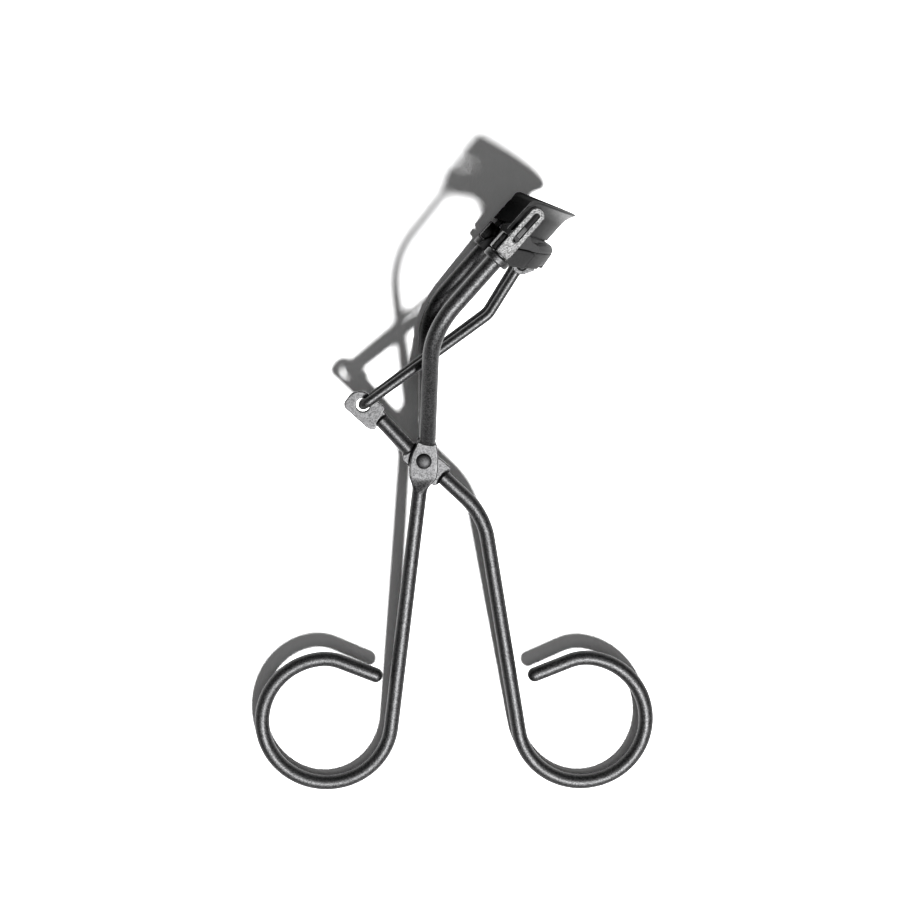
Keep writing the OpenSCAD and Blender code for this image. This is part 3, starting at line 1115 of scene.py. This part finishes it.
@dataclass
class FarArm:
    """The far arm, with its own flat eye on the lever's far side."""

    foot: tuple[float, float] = (0.65, 3.7)
    eye_r: float = 2.3
    eye_span: float = 7.5
    flat_to: float = 3.4
    part: Fitting = Fitting("far_arm_wire", "frame", "plated_rod", "far_arm", Finish.ROD)

    def build(self) -> bpy.types.Object:
        """Builds the piece: the eye's half width is the chord of its circle at each height."""
        low = vec(0.0, TOOL.pivot[1] - self.eye_r + 0.01, TOOL.plate_z)
        corner, end = TOOL.arm_points()
        line = rounded_path([low, vec(*self.foot, TOOL.plate_z), corner, end], [2.2, TOOL.arm_bend_r])
        path, s = resample(line, COARSE, FINE, [(0.0, self.eye_span)])
        y = path[:, 1]
        chord = np.sqrt(np.clip(self.eye_r ** 2 - (y - TOOL.pivot[1]) ** 2, 0.01, None))
        neck = smooth((y - 1.0) / 2.0)
        left = chord + (TOOL.arm_r + 0.25 - chord) * neck
        right = chord + (TOOL.arm_r + 0.1 - chord) * neck
        at_foot = float(np.interp(self.flat_to, y, s))
        share = box_share(s, (-2.0, 0.0, 0.5), (at_foot, 0.2, 0.35), across_of(left, right))
        radius = np.full_like(s, TOOL.arm_r)
        rod = ForgedRod(path, s, radius, left, right, np.full_like(s, TOOL.plate_t / 2), share)
        return self.part.place(mirrored([rod.shell()]))


@dataclass
class PivotRivet:
    """The rivet: a shank with a low dome on both ends."""

    shank_r: float = 0.8
    head_r: float = 1.33
    head_h: float = 0.62
    top: float = 1.95
    rim: float = 0.12
    part: Fitting = Fitting("pivot_rivet_domed", "frame", "rivet_metal", "pivot_rivet", Finish.RIVET)

    def build(self) -> bpy.types.Object:
        """Builds the piece by turning its outline: a dome is an ellipse with a short straight rim."""
        a = np.radians(np.linspace(4, 90, 16))
        dome_r = self.head_r * np.sin(a)
        dome_z = self.top + self.rim + (self.head_h - self.rim) * np.cos(a)
        edge_r = vec(self.head_r, self.head_r - 0.05, self.shank_r)
        edge_z = self.top + vec(self.rim * 0.4, -0.01, -0.02)
        r = np.concatenate([dome_r, edge_r, edge_r[::-1], dome_r[::-1]])
        z = np.concatenate([dome_z, edge_z, -edge_z[::-1], -dome_z[::-1]])
        round_xy = vec(*TOOL.pivot) + r[:, None, None] * spokes(48)
        grid = np.concatenate([round_xy, np.broadcast_to(z[:, None, None], (len(z), 48, 1))], -1)
        return self.part.place([shell_from_grid(grid, False)])


@dataclass
class LeverHandle:
    """The middle handle: lug, neck, forged plate, shank and ring, in one wire."""

    shank_angle: float = 279.7
    corner: tuple[float, float] = (10.5, -9.45)
    bend_r: float = 13.0
    plate_bend_r: float = 12.0
    neck_end: tuple[float, float] = (-7.95, 7.95)
    neck_low: tuple[float, float] = (-2.4, 1.95)
    plate_end: tuple[float, float] = (3.3, -2.68)
    plate_half: float = 2.2
    plate_ends: tuple[float, float, float, float] = (-5.2, -4.4, 2.7, 3.4)
    plate_low: Step = (-4.4, -0.15, 0.35)
    plate_high: Step = (2.9, 0.2, 0.35)
    lug_hole: tuple[float, float] = (-10.43, 9.83)
    lug_axis: float = 140.0
    lug_hole_r: float = 1.2
    lug_half_t: float = 0.5
    lug_edge: float = 0.18
    neck_flat: float = 4.0
    part: Fitting = Fitting("lever_handle_wire", "lever", "plated_rod", "lever_handle", Finish.ROD)

    def centre_line(self) -> Array:
        """Returns the wire's middle line from the tail's tip to the lug.

        The ring is worked out in a mirror, at 540 degrees less the shank's angle, and turned back.
        """
        centre = (-TOOL.lever_ring[0], TOOL.lever_ring[1])
        ring = RingPath(centre, 540.0 - self.shank_angle).points() * vec(-1, 1, 1)
        corners = [vec(*xy, 0) for xy in (self.corner, self.plate_end, self.neck_low, self.neck_end)]
        upper = rounded_path([ring[-1], *corners], [self.bend_r, self.plate_bend_r, self.plate_bend_r])
        return np.concatenate([ring[:-1], upper])

    def lug(self) -> Shell:
        """Returns the lug: its outline seen from the hole, rounded at the outer corner."""
        a = np.radians(np.arange(0, -91, -6))
        bow = 0.4 + 2.4 * np.stack([np.cos(a), np.sin(a)], -1)
        start = np.array([[-4.4, 2.0], [-3.4, 2.6], [2.1, 2.4], [2.7, 1.9]])
        finish = np.array([[-3.3, -2.1], [-3.75, 0.0]])
        outline = np.concatenate([start, bow, finish])
        ray = spokes(120)
        reach = ease_loop(ray_lengths(np.zeros_like(ray), ray, outline), 2)
        half = self.lug_half_t
        plate = holed_plate(ray * self.lug_hole_r, ray * reach[:, None], -half, half, self.lug_edge)
        return plate.flat_turned(self.lug_hole, self.lug_axis)

    def build(self) -> bpy.types.Object:
        """Builds the piece.

        Returns:
            The object.
        """
        line = self.centre_line()
        total = float(run_lengths(line)[-1])
        at_pivot = total - float(np.linalg.norm(vec(*self.neck_end) - vec(*TOOL.pivot)))
        path, s = resample(line, COARSE, FINE, [(0.0, 1.4), (at_pivot - 6.5, total)])
        t = s - at_pivot
        widths = (TOOL.rod_r, self.plate_half, self.plate_half, TOOL.rod_r)
        half = ease(np.interp(t, self.plate_ends, widths), 4)
        u = across_of(half, half)
        plate = box_share(t, self.plate_low, self.plate_high, u)
        flat_end = smooth((s[:, None] - (total - 0.85) + 0.12 * u * u) / 0.3)
        share = np.maximum(plate, flat_end)
        half_t = np.where(total - s < self.neck_flat, self.lug_half_t - 0.03, TOOL.plate_t / 2)
        radius = round_ends(s, total, np.full_like(s, TOOL.rod_r), TOOL.rod_r, 0.0)
        rod = ForgedRod(path, s, radius, half, half, half_t, share)
        return self.part.place([rod.shell(), self.lug()])


@dataclass
class YokeWire:
    """The yoke: one thin wire through the lug, with two legs and turned-out ends."""

    wire_r: float = 0.8
    foot: tuple[float, float] = (-10.43, 9.83)
    corner: tuple[float, float] = (10.8, 25.6)
    top: tuple[float, float] = (16.05, 34.25)
    leg_z: tuple[float, float, float] = (1.6, 3.0, 3.6)
    pin_z: float = 6.2
    bends: tuple[float, float, float] = (1.2, 4.0, 1.2)
    end_span: float = 4.0
    fine: float = 0.12
    dome: float = 0.25
    part: Fitting = Fitting("yoke_wire_bent", "yoke", "plated_rod", "yoke_wire", Finish.ROD)

    def build(self) -> bpy.types.Object:
        """Builds the piece as one tube from pin to pin."""
        places = (self.foot, self.corner, self.top, self.top)
        half = [vec(*xy, z) for xy, z in zip(places, (*self.leg_z, self.pin_z))]
        corners = [p * FAR_SIDE for p in half[::-1]] + half
        line = rounded_path(corners, [*self.bends[::-1], *self.bends])
        total = float(run_lengths(line)[-1])
        ends = [(0.0, self.end_span), (total - self.end_span, total)]
        path, s = resample(line, COARSE, self.fine, ends)
        radius = round_ends(s, total, np.full_like(s, self.wire_r), self.dome, self.dome)
        across, rise = (radius[:, None] * axis for axis in spokes(32).T)
        return self.part.place([shell_from_grid(carry(path, heading(135.0), across, rise), False)])


@dataclass
class Guide:
    """A flat guide with a slot, and the socket that holds the arm's end."""

    length: float = 9.9
    slot_r: float = 0.4
    slot_low: float = 3.1
    slot_high: float = 8.9
    socket_x: tuple[float, float] = (-2.2, 1.25)
    socket_h: float = 3.2
    socket_wall: float = 0.2

    def plate(self) -> Shell:
        """Returns the guide's plate: rays from the slot's edge along its normals meet the outline."""
        half = TOOL.guide_w / 2
        a = np.radians(np.linspace(0, 180, 25))
        top = np.stack([half * np.cos(a), self.length - half + half * np.sin(a)], -1)
        outline = np.concatenate([np.array([[-half, 0.0], [half, 0.0]]), top])
        low, high = self.slot_low + self.slot_r, self.slot_high - self.slot_r
        bend = np.radians(np.linspace(0, 180, 31))
        run = np.linspace(0, 1, 24)[1:-1]
        side = np.ones_like(run)
        steady = np.ones_like(bend)
        centre_y = np.concatenate([high * steady, high + (low - high) * run,
                                   low * steady, low + (high - low) * run])
        turn = np.concatenate([bend, math.pi * side, math.pi + bend, 2 * math.pi * side])
        normal = np.stack([np.cos(turn), np.sin(turn)], -1)
        centre = np.stack([np.zeros_like(centre_y), centre_y], -1)
        inner = centre + self.slot_r * normal
        outer = centre + ray_lengths(centre, normal, outline)[:, None] * normal
        return holed_plate(inner, outer, TOOL.guide_face - TOOL.guide_t, TOOL.guide_face, 0.12)

    def shells(self) -> list[Shell]:
        """Returns the near guide's shells."""
        low = TOOL.arm_z - TOOL.arm_r - self.socket_wall
        high = TOOL.guide_face - TOOL.guide_t + 0.02
        # The socket has no flat values, so it takes the guides' near-black tone: painted shade under the
        # guide plate.
        socket = block(self.socket_x, (0.0, self.socket_h), (low, high), 0.25)
        socket.edge = np.zeros_like(socket.edge)
        return [in_head(self.plate()), in_head(socket)]

    def build(self) -> list[bpy.types.Object]:
        """Builds the near guide and the far one."""
        made = []
        for side, turned in SIDES:
            part = Fitting(f"{side}_guide_plate", "frame", "pale_plate", f"{side}_guide", Finish.GUIDE)
            made.append(part.place(turned(self.shells())))
        return made


@dataclass
class UpperJaw:
    """The fixed jaw: a thin sheet bent along the lid's curve, with a flared lip and two end tabs."""

    pitch: float = 20.8
    radius: float = 19.2
    front: tuple[float, float] = (5.67, 6.85)
    sheet: float = 0.8
    height: float = 6.0
    lip_start: float = 3.8
    lip_out: float = 0.9
    half_span: float = 15.85
    back: float = -2.15
    tab_y: tuple[float, float] = (3.9, 6.0)
    tab_half: float = 0.37
    tab_depth: float = 2.9
    foot_round: float = 0.15
    lit_band_low: float = 3.2
    lit_band_rise: float = 2.0
    part: Fitting = Fitting("upper_jaw_sheet", "frame", "dark_sheet", "upper_jaw", Finish.SHEET)

    def section(self) -> tuple[Array, Array]:
        """Returns the sheet's closed section as distance out and height.

        The outer face leans out by the lip's reach times the square of the share of the way up
        from the lip's start, the inner face runs a sheet's thickness behind it, and half circles
        close the lip and the foot.
        """
        y = np.linspace(self.foot_round, self.height, 40)
        q = np.clip((y - self.lip_start) / (self.height - self.lip_start), 0, None)
        outer_x = self.lip_out * q * q
        inner_x = outer_x - self.sheet * (1 - 0.1 * q)
        inner_y = y + 0.2 * q * q
        a, b = vec(outer_x[-1], y[-1]), vec(inner_x[-1], inner_y[-1])
        turn = np.radians(np.linspace(0, 180, 9))[1:-1, None]
        middle, half = (a + b) / 2, (a - b) / 2
        bulge = vec(-half[1], half[0]) * 0.5
        lip = middle + half * np.cos(turn) + bulge * np.sin(turn)
        foot_half = (outer_x[0] - inner_x[0]) / 2
        foot = np.stack([outer_x[0] - foot_half - foot_half * np.cos(turn[:, 0]),
                         y[0] - self.foot_round * np.sin(turn[:, 0])], -1)
        x = np.concatenate([outer_x, lip[:, 0], inner_x[::-1], foot[:, 0]])
        h = np.concatenate([y, lip[:, 1], inner_y[::-1], foot[:, 1]])
        return x, h

    def build(self) -> bpy.types.Object:
        """Builds the piece: the section is carried along an arc whose plane is pitched up.

        A point at the arc angle a stands at the radius plus its distance out, times the cosine
        of a, less the radius, along the pitched direction, and at the same sum times the sine of
        a across. The angle is scaled so that each end is flat against its guide. A painted
        highlight band on the outer face, in the bare metal colour towards the lip, rises smoothly
        from its given low height.

        Returns:
            The object.
        """
        x, h = self.section()
        share = np.linspace(-1, 1, 121)[:, None]
        ring = self.radius + x[None]
        p = math.radians(self.pitch)
        nearest = self.radius - (self.front[0] - self.back) / math.cos(p)
        angle = share * np.minimum(np.arcsin(self.half_span / ring), np.arccos(nearest / ring))
        reach = ring * np.cos(angle) - self.radius
        head_x = self.front[0] + reach * math.cos(p)
        head_y = self.front[1] + reach * math.sin(p) + h[None]
        grid = TOOL.head(head_x, head_y, ring * np.sin(angle))
        outer = (x > -0.3) & (h < self.height - 0.05)
        # Painted highlight: the outer face takes the bare metal colour, rising towards the lip.
        lit_band = smooth((h - self.lit_band_low) / self.lit_band_rise) * outer
        sheet = shell_from_grid(grid, False, lit_band)
        tab_top = TOOL.guide_face - 0.02
        tab_z = (tab_top - self.tab_depth, tab_top)
        tab = in_head(block((-self.tab_half, self.tab_half), self.tab_y, tab_z, 0.08))
        tab.flat = np.ones_like(tab.flat)
        return self.part.place([sheet, tab, *mirrored([tab])])


@dataclass
class MovingJaw:
    """The sliding jaw: a trough with closed ends, the rubber pad, collars on the arms, and ears."""

    pitch: float = 29.3
    front: tuple[float, float] = (7.79, 5.9)
    radius: float = 18.0
    pad_w: float = 4.2
    pad_h: float = 1.55
    swell: tuple[float, float] = (0.3, 1.6)
    depth: float = 2.8
    foot: float = 0.95
    wall: float = 0.6
    cheek_z: float = 11.8
    cheek_t: float = 0.7
    cheek_outline: tuple[tuple[float, float], ...] = (
        (-1.2, -1.5), (1.6, -1.5), (2.7, -0.4), (4.7, 0.9), (4.6, 4.1), (-0.3, 1.4), (-1.2, -0.2))
    root: tuple[float, float] = (0.5, 1.55)
    gap: float = 0.05
    relief_z: tuple[float, float] = (1.7, 7.2)
    relief_h: float = 0.5
    collar_r: float = 2.3
    bore_r: float = 1.45
    boss_half: float = 1.3
    collar_y: tuple[float, float] = (-1.5, -0.2)
    ear_at: tuple[float, float] = (16.05, 34.25)
    ear_z: tuple[float, float] = (4.9, 5.8)
    ear_r: float = 1.6
    pin_r: float = 0.85
    tongue: float = 1.7
    ear_angle: float = 20.0

    def sweep(self, x: Array, y: Array, half_span: float, rows: int) -> Array:
        """Carries a closed outline along the pad's arc, with flat ends.

        The arc lies in a plane that is pitched up. A point's ring is the radius plus its distance
        across, and the angle is scaled so that the ring times its sine is half_span at the ends.

        Args:
            x: distance across, outwards.
            y: height square to the arc's plane.
            half_span: distance of each end from the middle plane.
            rows: stations along the arc.

        Returns:
            Points with the shape (rows, len(x), 3), in the tool frame.
        """
        share = np.linspace(-1, 1, rows)[:, None]
        ring = self.radius + x[None]
        angle = share * np.arcsin(half_span / ring)
        along = ring * np.cos(angle) - self.radius - self.pad_w / 2
        height = y[None] + 0 * along
        p = math.radians(self.pitch)
        head_x = self.front[0] + along * math.cos(p) - height * math.sin(p)
        head_y = self.front[1] + along * math.sin(p) + height * math.cos(p)
        return TOOL.head(head_x, head_y, ring * np.sin(angle))

    def lift(self) -> Array:
        """Returns the direction square to the pitched plane of the pad's arc."""
        p = math.radians(self.pitch)
        return TOOL.up() * math.cos(p) - TOOL.out() * math.sin(p)

    def holder(self) -> bpy.types.Object:
        """Builds the trough and its two cheeks.

        The trough's underside is lifted where the yoke's ends turn out, by a smooth step on each
        side of them.

        Returns:
            The object.
        """
        half, root_x, root_y = self.pad_w / 2, self.root[0] + self.gap, -self.root[1] - self.gap
        corners = [(-half, 0.0), (-self.foot, -self.depth), (self.foot, -self.depth), (half, 0.0),
                   (half - self.wall, 0.0), (root_x, root_y), (-root_x, root_y), (-half + self.wall, 0.0)]
        loop = rounded_loop(np.array(corners), 0.16, 5, 0.35)
        grid = self.sweep(loop[:, 0], loop[:, 1], self.cheek_z - self.cheek_t / 2, 101)
        under = smooth((-loop[:, 1] - 1.7) / 0.6)[None]
        across = np.abs(grid[..., 2])
        near_pin = smooth((across - self.relief_z[0]) / 0.8) * smooth((self.relief_z[1] - across) / 0.8)
        relief = near_pin * under * self.relief_h
        trough = shell_from_grid(grid + relief[..., None] * self.lift(), False)
        middle = vec(1.6, 0.6)
        ray = spokes(96)
        reach = ray_lengths(np.broadcast_to(middle, ray.shape), ray, np.array(self.cheek_outline))
        outline = middle + ray * ease_loop(reach, 2)[:, None]
        cheek = in_head(solid_plate(outline, self.cheek_z - self.cheek_t, self.cheek_z, 0.15))
        part = Fitting("pad_holder_trough", "jaw", "dark_sheet", "pad_holder", Finish.SHEET)
        return part.place([trough, cheek, *mirrored([cheek])])

    def pad(self) -> bpy.types.Object:
        """Builds the rubber pad: a crowned top over a narrower root that sits in the trough.

        On the side inside the fixed jaw the crown swells along the lift, by a rise that grows
        with the square of the distance across.

        Returns:
            The object.
        """
        half = self.pad_w / 2
        root = half - self.wall - 0.04
        corners = [(half - 0.02, 0.05), (half + 0.03, 0.5), (half - 0.35, 1.2), (half - 1.1, self.pad_h),
                   (-half + 1.1, self.pad_h), (-half + 0.35, 1.2), (-half - 0.03, 0.5), (-half + 0.02, 0.05),
                   (-root, 0.03), (-self.root[0], -self.root[1]), (self.root[0], -self.root[1]),
                   (root, 0.03)]
        loop = rounded_loop(np.array(corners), 0.3, 6, 0.3)
        grid = self.sweep(loop[:, 0], loop[:, 1], self.cheek_z - self.cheek_t - 0.03, 121)
        inner = smooth((loop[:, 1] - 0.5) / 0.8) * smooth((0.9 - loop[:, 0]) / 0.6)
        rise = self.swell[0] + (self.swell[1] - self.swell[0]) * (grid[..., 2] / self.cheek_z) ** 2
        grid = grid + (rise * inner)[..., None] * self.lift()
        part = Fitting("lash_pad_rubber", "jaw", "pad_rubber", "lash_pad", Finish.PAD)
        return part.place([shell_from_grid(grid, False)])

    def collar_shells(self) -> list[Shell]:
        """Returns the near collar: a ring on the arm and the boss that joins it to the cheek."""
        ray = spokes(64)
        low, high = self.collar_y
        ring = holed_plate(ray * self.bore_r, ray * self.collar_r, low, high, 0.3)
        ring.flat = np.zeros_like(ring.flat)
        x, y, z = ring.points.T
        boss_z = (self.cheek_z - 0.05, TOOL.arm_z - self.bore_r - 0.05)
        boss = block((-self.boss_half, self.boss_half), (low + 0.06, high - 0.06), boss_z, 0.15)
        return [ring.moved(TOOL.head(x, z, y + TOOL.arm_z)), in_head(boss)]

    def ear_shells(self) -> list[Shell]:
        """Returns the near ear: a round eye with a tongue that runs into the trough."""
        ray = spokes(96)
        a = np.radians(np.linspace(90, 270, 25))
        eye = self.ear_r * np.stack([np.cos(a), np.sin(a)], -1)
        tongue = np.array([[self.tongue, -self.ear_r], [self.tongue, self.ear_r]])
        reach = ray_lengths(np.zeros_like(ray), ray, np.concatenate([eye, tongue]))
        plate = holed_plate(ray * self.pin_r, ray * reach[:, None], *self.ear_z, 0.15)
        return [plate.flat_turned(self.ear_at, self.ear_angle)]

    def build(self) -> list[bpy.types.Object]:
        """Builds all of the sliding jaw's pieces."""
        made = [self.holder(), self.pad()]
        for side, turned in SIDES:
            collar = Fitting(f"{side}_collar_ring", "jaw", "plated_rod", f"{side}_collar", Finish.ROD)
            ear = Fitting(f"{side}_ear_plate", "jaw", "plated_rod", f"{side}_ear", Finish.ROD)
            made += [collar.place(turned(self.collar_shells())), ear.place(turned(self.ear_shells()))]
        return made


ROUNDED_SHARE = 0.45


def rounded_loop(corners: Array, radius: float, count: int, step: float) -> Array:
    """Rounds the corners of a closed flat outline and fills its sides with points.

    Args:
        corners: the outline's corners, with the shape (n, 2).
        radius: rounding radius, held under 45% of each neighbouring side.
        count: points along each rounding.
        step: longest distance between points along the sides.

    Returns:
        The loop's points.
    """
    before, after = np.roll(corners, 1, axis=0), np.roll(corners, -1, axis=0)
    a, b = unit(corners - before), unit(after - corners)
    sides = (np.linalg.norm(corners - before, axis=1), np.linalg.norm(after - corners, axis=1))
    room = ROUNDED_SHARE * np.minimum(*sides)
    turn = np.arccos(np.clip((a * b).sum(1), -1, 1))
    cut = np.minimum(radius * np.tan(turn / 2), room)
    t = np.linspace(0, 1, count)[None, :, None]
    start, end = (corners - a * cut[:, None])[:, None], (corners + b * cut[:, None])[:, None]
    bends = (1 - t) ** 2 * start + 2 * t * (1 - t) * corners[:, None] + t ** 2 * end
    parts = []
    for bend, following in zip(bends, np.roll(bends, -1, axis=0)):
        gap = np.linalg.norm(following[0] - bend[-1])
        fill = np.linspace(0, 1, max(2, int(math.ceil(gap / step)) + 1))[1:-1, None]
        parts += [bend, bend[-1] + (following[0] - bend[-1]) * fill]
    return np.concatenate(parts)


# ---------------------------------------------------------------- studio


@dataclass
class Studio:
    """The pale floor, the key light, the even sky, and the camera above the tool."""

    floor_half: float = 6.0
    floor_gap: float = 0.00002
    floor_cloud_mm: float = 300.0
    floor_tones: tuple[float, float] = (0.82, 0.84)
    floor_roughness: float = 0.2
    floor_reflection: float = 0.4
    sun_from: tuple[float, float, float] = (0.188, -0.445, 0.876)
    sun_power: float = 13.5
    sun_angle: float = 6.3
    sky: float = 0.05
    box_size: float = 0.5
    box_height: float = 0.7
    box_power: float = 0.55
    roll: float = 2.8
    pitch: float = 9.7
    centre: tuple[float, float, float] = (-4.57, -1.90, 0.0)
    distance: float = 350.0
    focal_ratio: float = 2.2556
    sensor: float = 36.0

    def floor(self) -> bpy.types.Object:
        """Makes the floor just under the tool."""
        size = self.floor_half
        z = CAD_BOX[0].z - self.floor_gap
        corners = [(-size, -size, z), (size, -size, z), (size, size, z), (-size, size, z)]
        mesh = bpy.data.meshes.new("floor")
        mesh.from_pydata(corners, [], [(0, 1, 2, 3)])
        shader = Shader("pale_floor")
        tone = shader.ramp(shader.noise(self.floor_cloud_mm), 0.3, 0.7)
        low, high = ((x, x, x) for x in self.floor_tones)
        shader.feed("Base Color", shader.blend(tone, low, high))
        shader.bsdf.inputs["Roughness"].default_value = self.floor_roughness
        shader.bsdf.inputs["Specular IOR Level"].default_value = self.floor_reflection
        mesh.materials.append(shader.material)
        floor = bpy.data.objects.new("floor", mesh)
        bpy.context.scene.collection.objects.link(floor)
        return floor

    def lights(self) -> None:
        """Makes the key light from the lower right, the soft box overhead and the dim sky."""
        sun = bpy.data.lights.new("key", "SUN")
        sun.energy = self.sun_power
        sun.angle = math.radians(self.sun_angle)
        lamp = bpy.data.objects.new("key", sun)
        lamp.rotation_mode = "QUATERNION"
        lamp.rotation_quaternion = Vector(self.sun_from).to_track_quat("Z", "Y")
        bpy.context.scene.collection.objects.link(lamp)
        area = bpy.data.lights.new("soft_box", "AREA")
        area.size = self.box_size
        area.energy = self.box_power
        box = bpy.data.objects.new("soft_box", area)
        box.location = (0.0, 0.0, self.box_height)
        bpy.context.scene.collection.objects.link(box)
        world = bpy.data.worlds.new("sky")
        world.use_nodes = True
        nodes = world.node_tree.nodes
        background = nodes.get("Background") or nodes.new("ShaderNodeBackground")
        background.inputs["Color"].default_value = (1.0, 1.0, 1.0, 1.0)
        background.inputs["Strength"].default_value = self.sky
        output = next((n for n in nodes if n.type == "OUTPUT_WORLD"), None)
        output = output or nodes.new("ShaderNodeOutputWorld")
        world.node_tree.links.new(background.outputs[0], output.inputs["Surface"])
        bpy.context.scene.world = world

    def camera(self) -> bpy.types.Object:
        """Makes the camera: its axes are the rows of roll about Y times the rest of the pitch about X."""
        about_x = Lay(math.radians(self.pitch) - LAY.tilt, LAY.origin).turn()
        c, s = math.cos(math.radians(self.roll)), math.sin(math.radians(self.roll))
        about_y = np.array([[c, 0, s], [0, 1, 0], [-s, 0, c]])
        turn = about_y @ about_x
        place = np.array(LAY.origin) + turn.T @ (vec(0, 0, self.distance) - vec(*self.centre))
        data = bpy.data.cameras.new("camera")
        data.sensor_width = self.sensor
        data.lens = self.sensor * self.focal_ratio
        data.clip_start = 0.01
        data.clip_end = 10.0
        camera = bpy.data.objects.new("camera", data)
        camera.matrix_world = Matrix.Translation(Vector(place * MM)) @ Matrix(turn.T.tolist()).to_4x4()
        bpy.context.scene.collection.objects.link(camera)
        bpy.context.scene.camera = camera
        return camera

    def build(self) -> None:
        """Builds the whole studio."""
        self.camera()
        self.floor()
        self.lights()
        bpy.context.scene.view_settings.view_transform = "Standard"


def main() -> None:
    """Builds the tool and its studio."""
    logging.basicConfig(level=logging.INFO, format="%(name)s: %(message)s")
    Studio().build()
    for assembly in (FrameHandle(), FarArm(), PivotRivet(), LeverHandle(), YokeWire(), Guide(), UpperJaw(),
                     MovingJaw()):
        assembly.build()


if __name__ == "__main__":
    main()
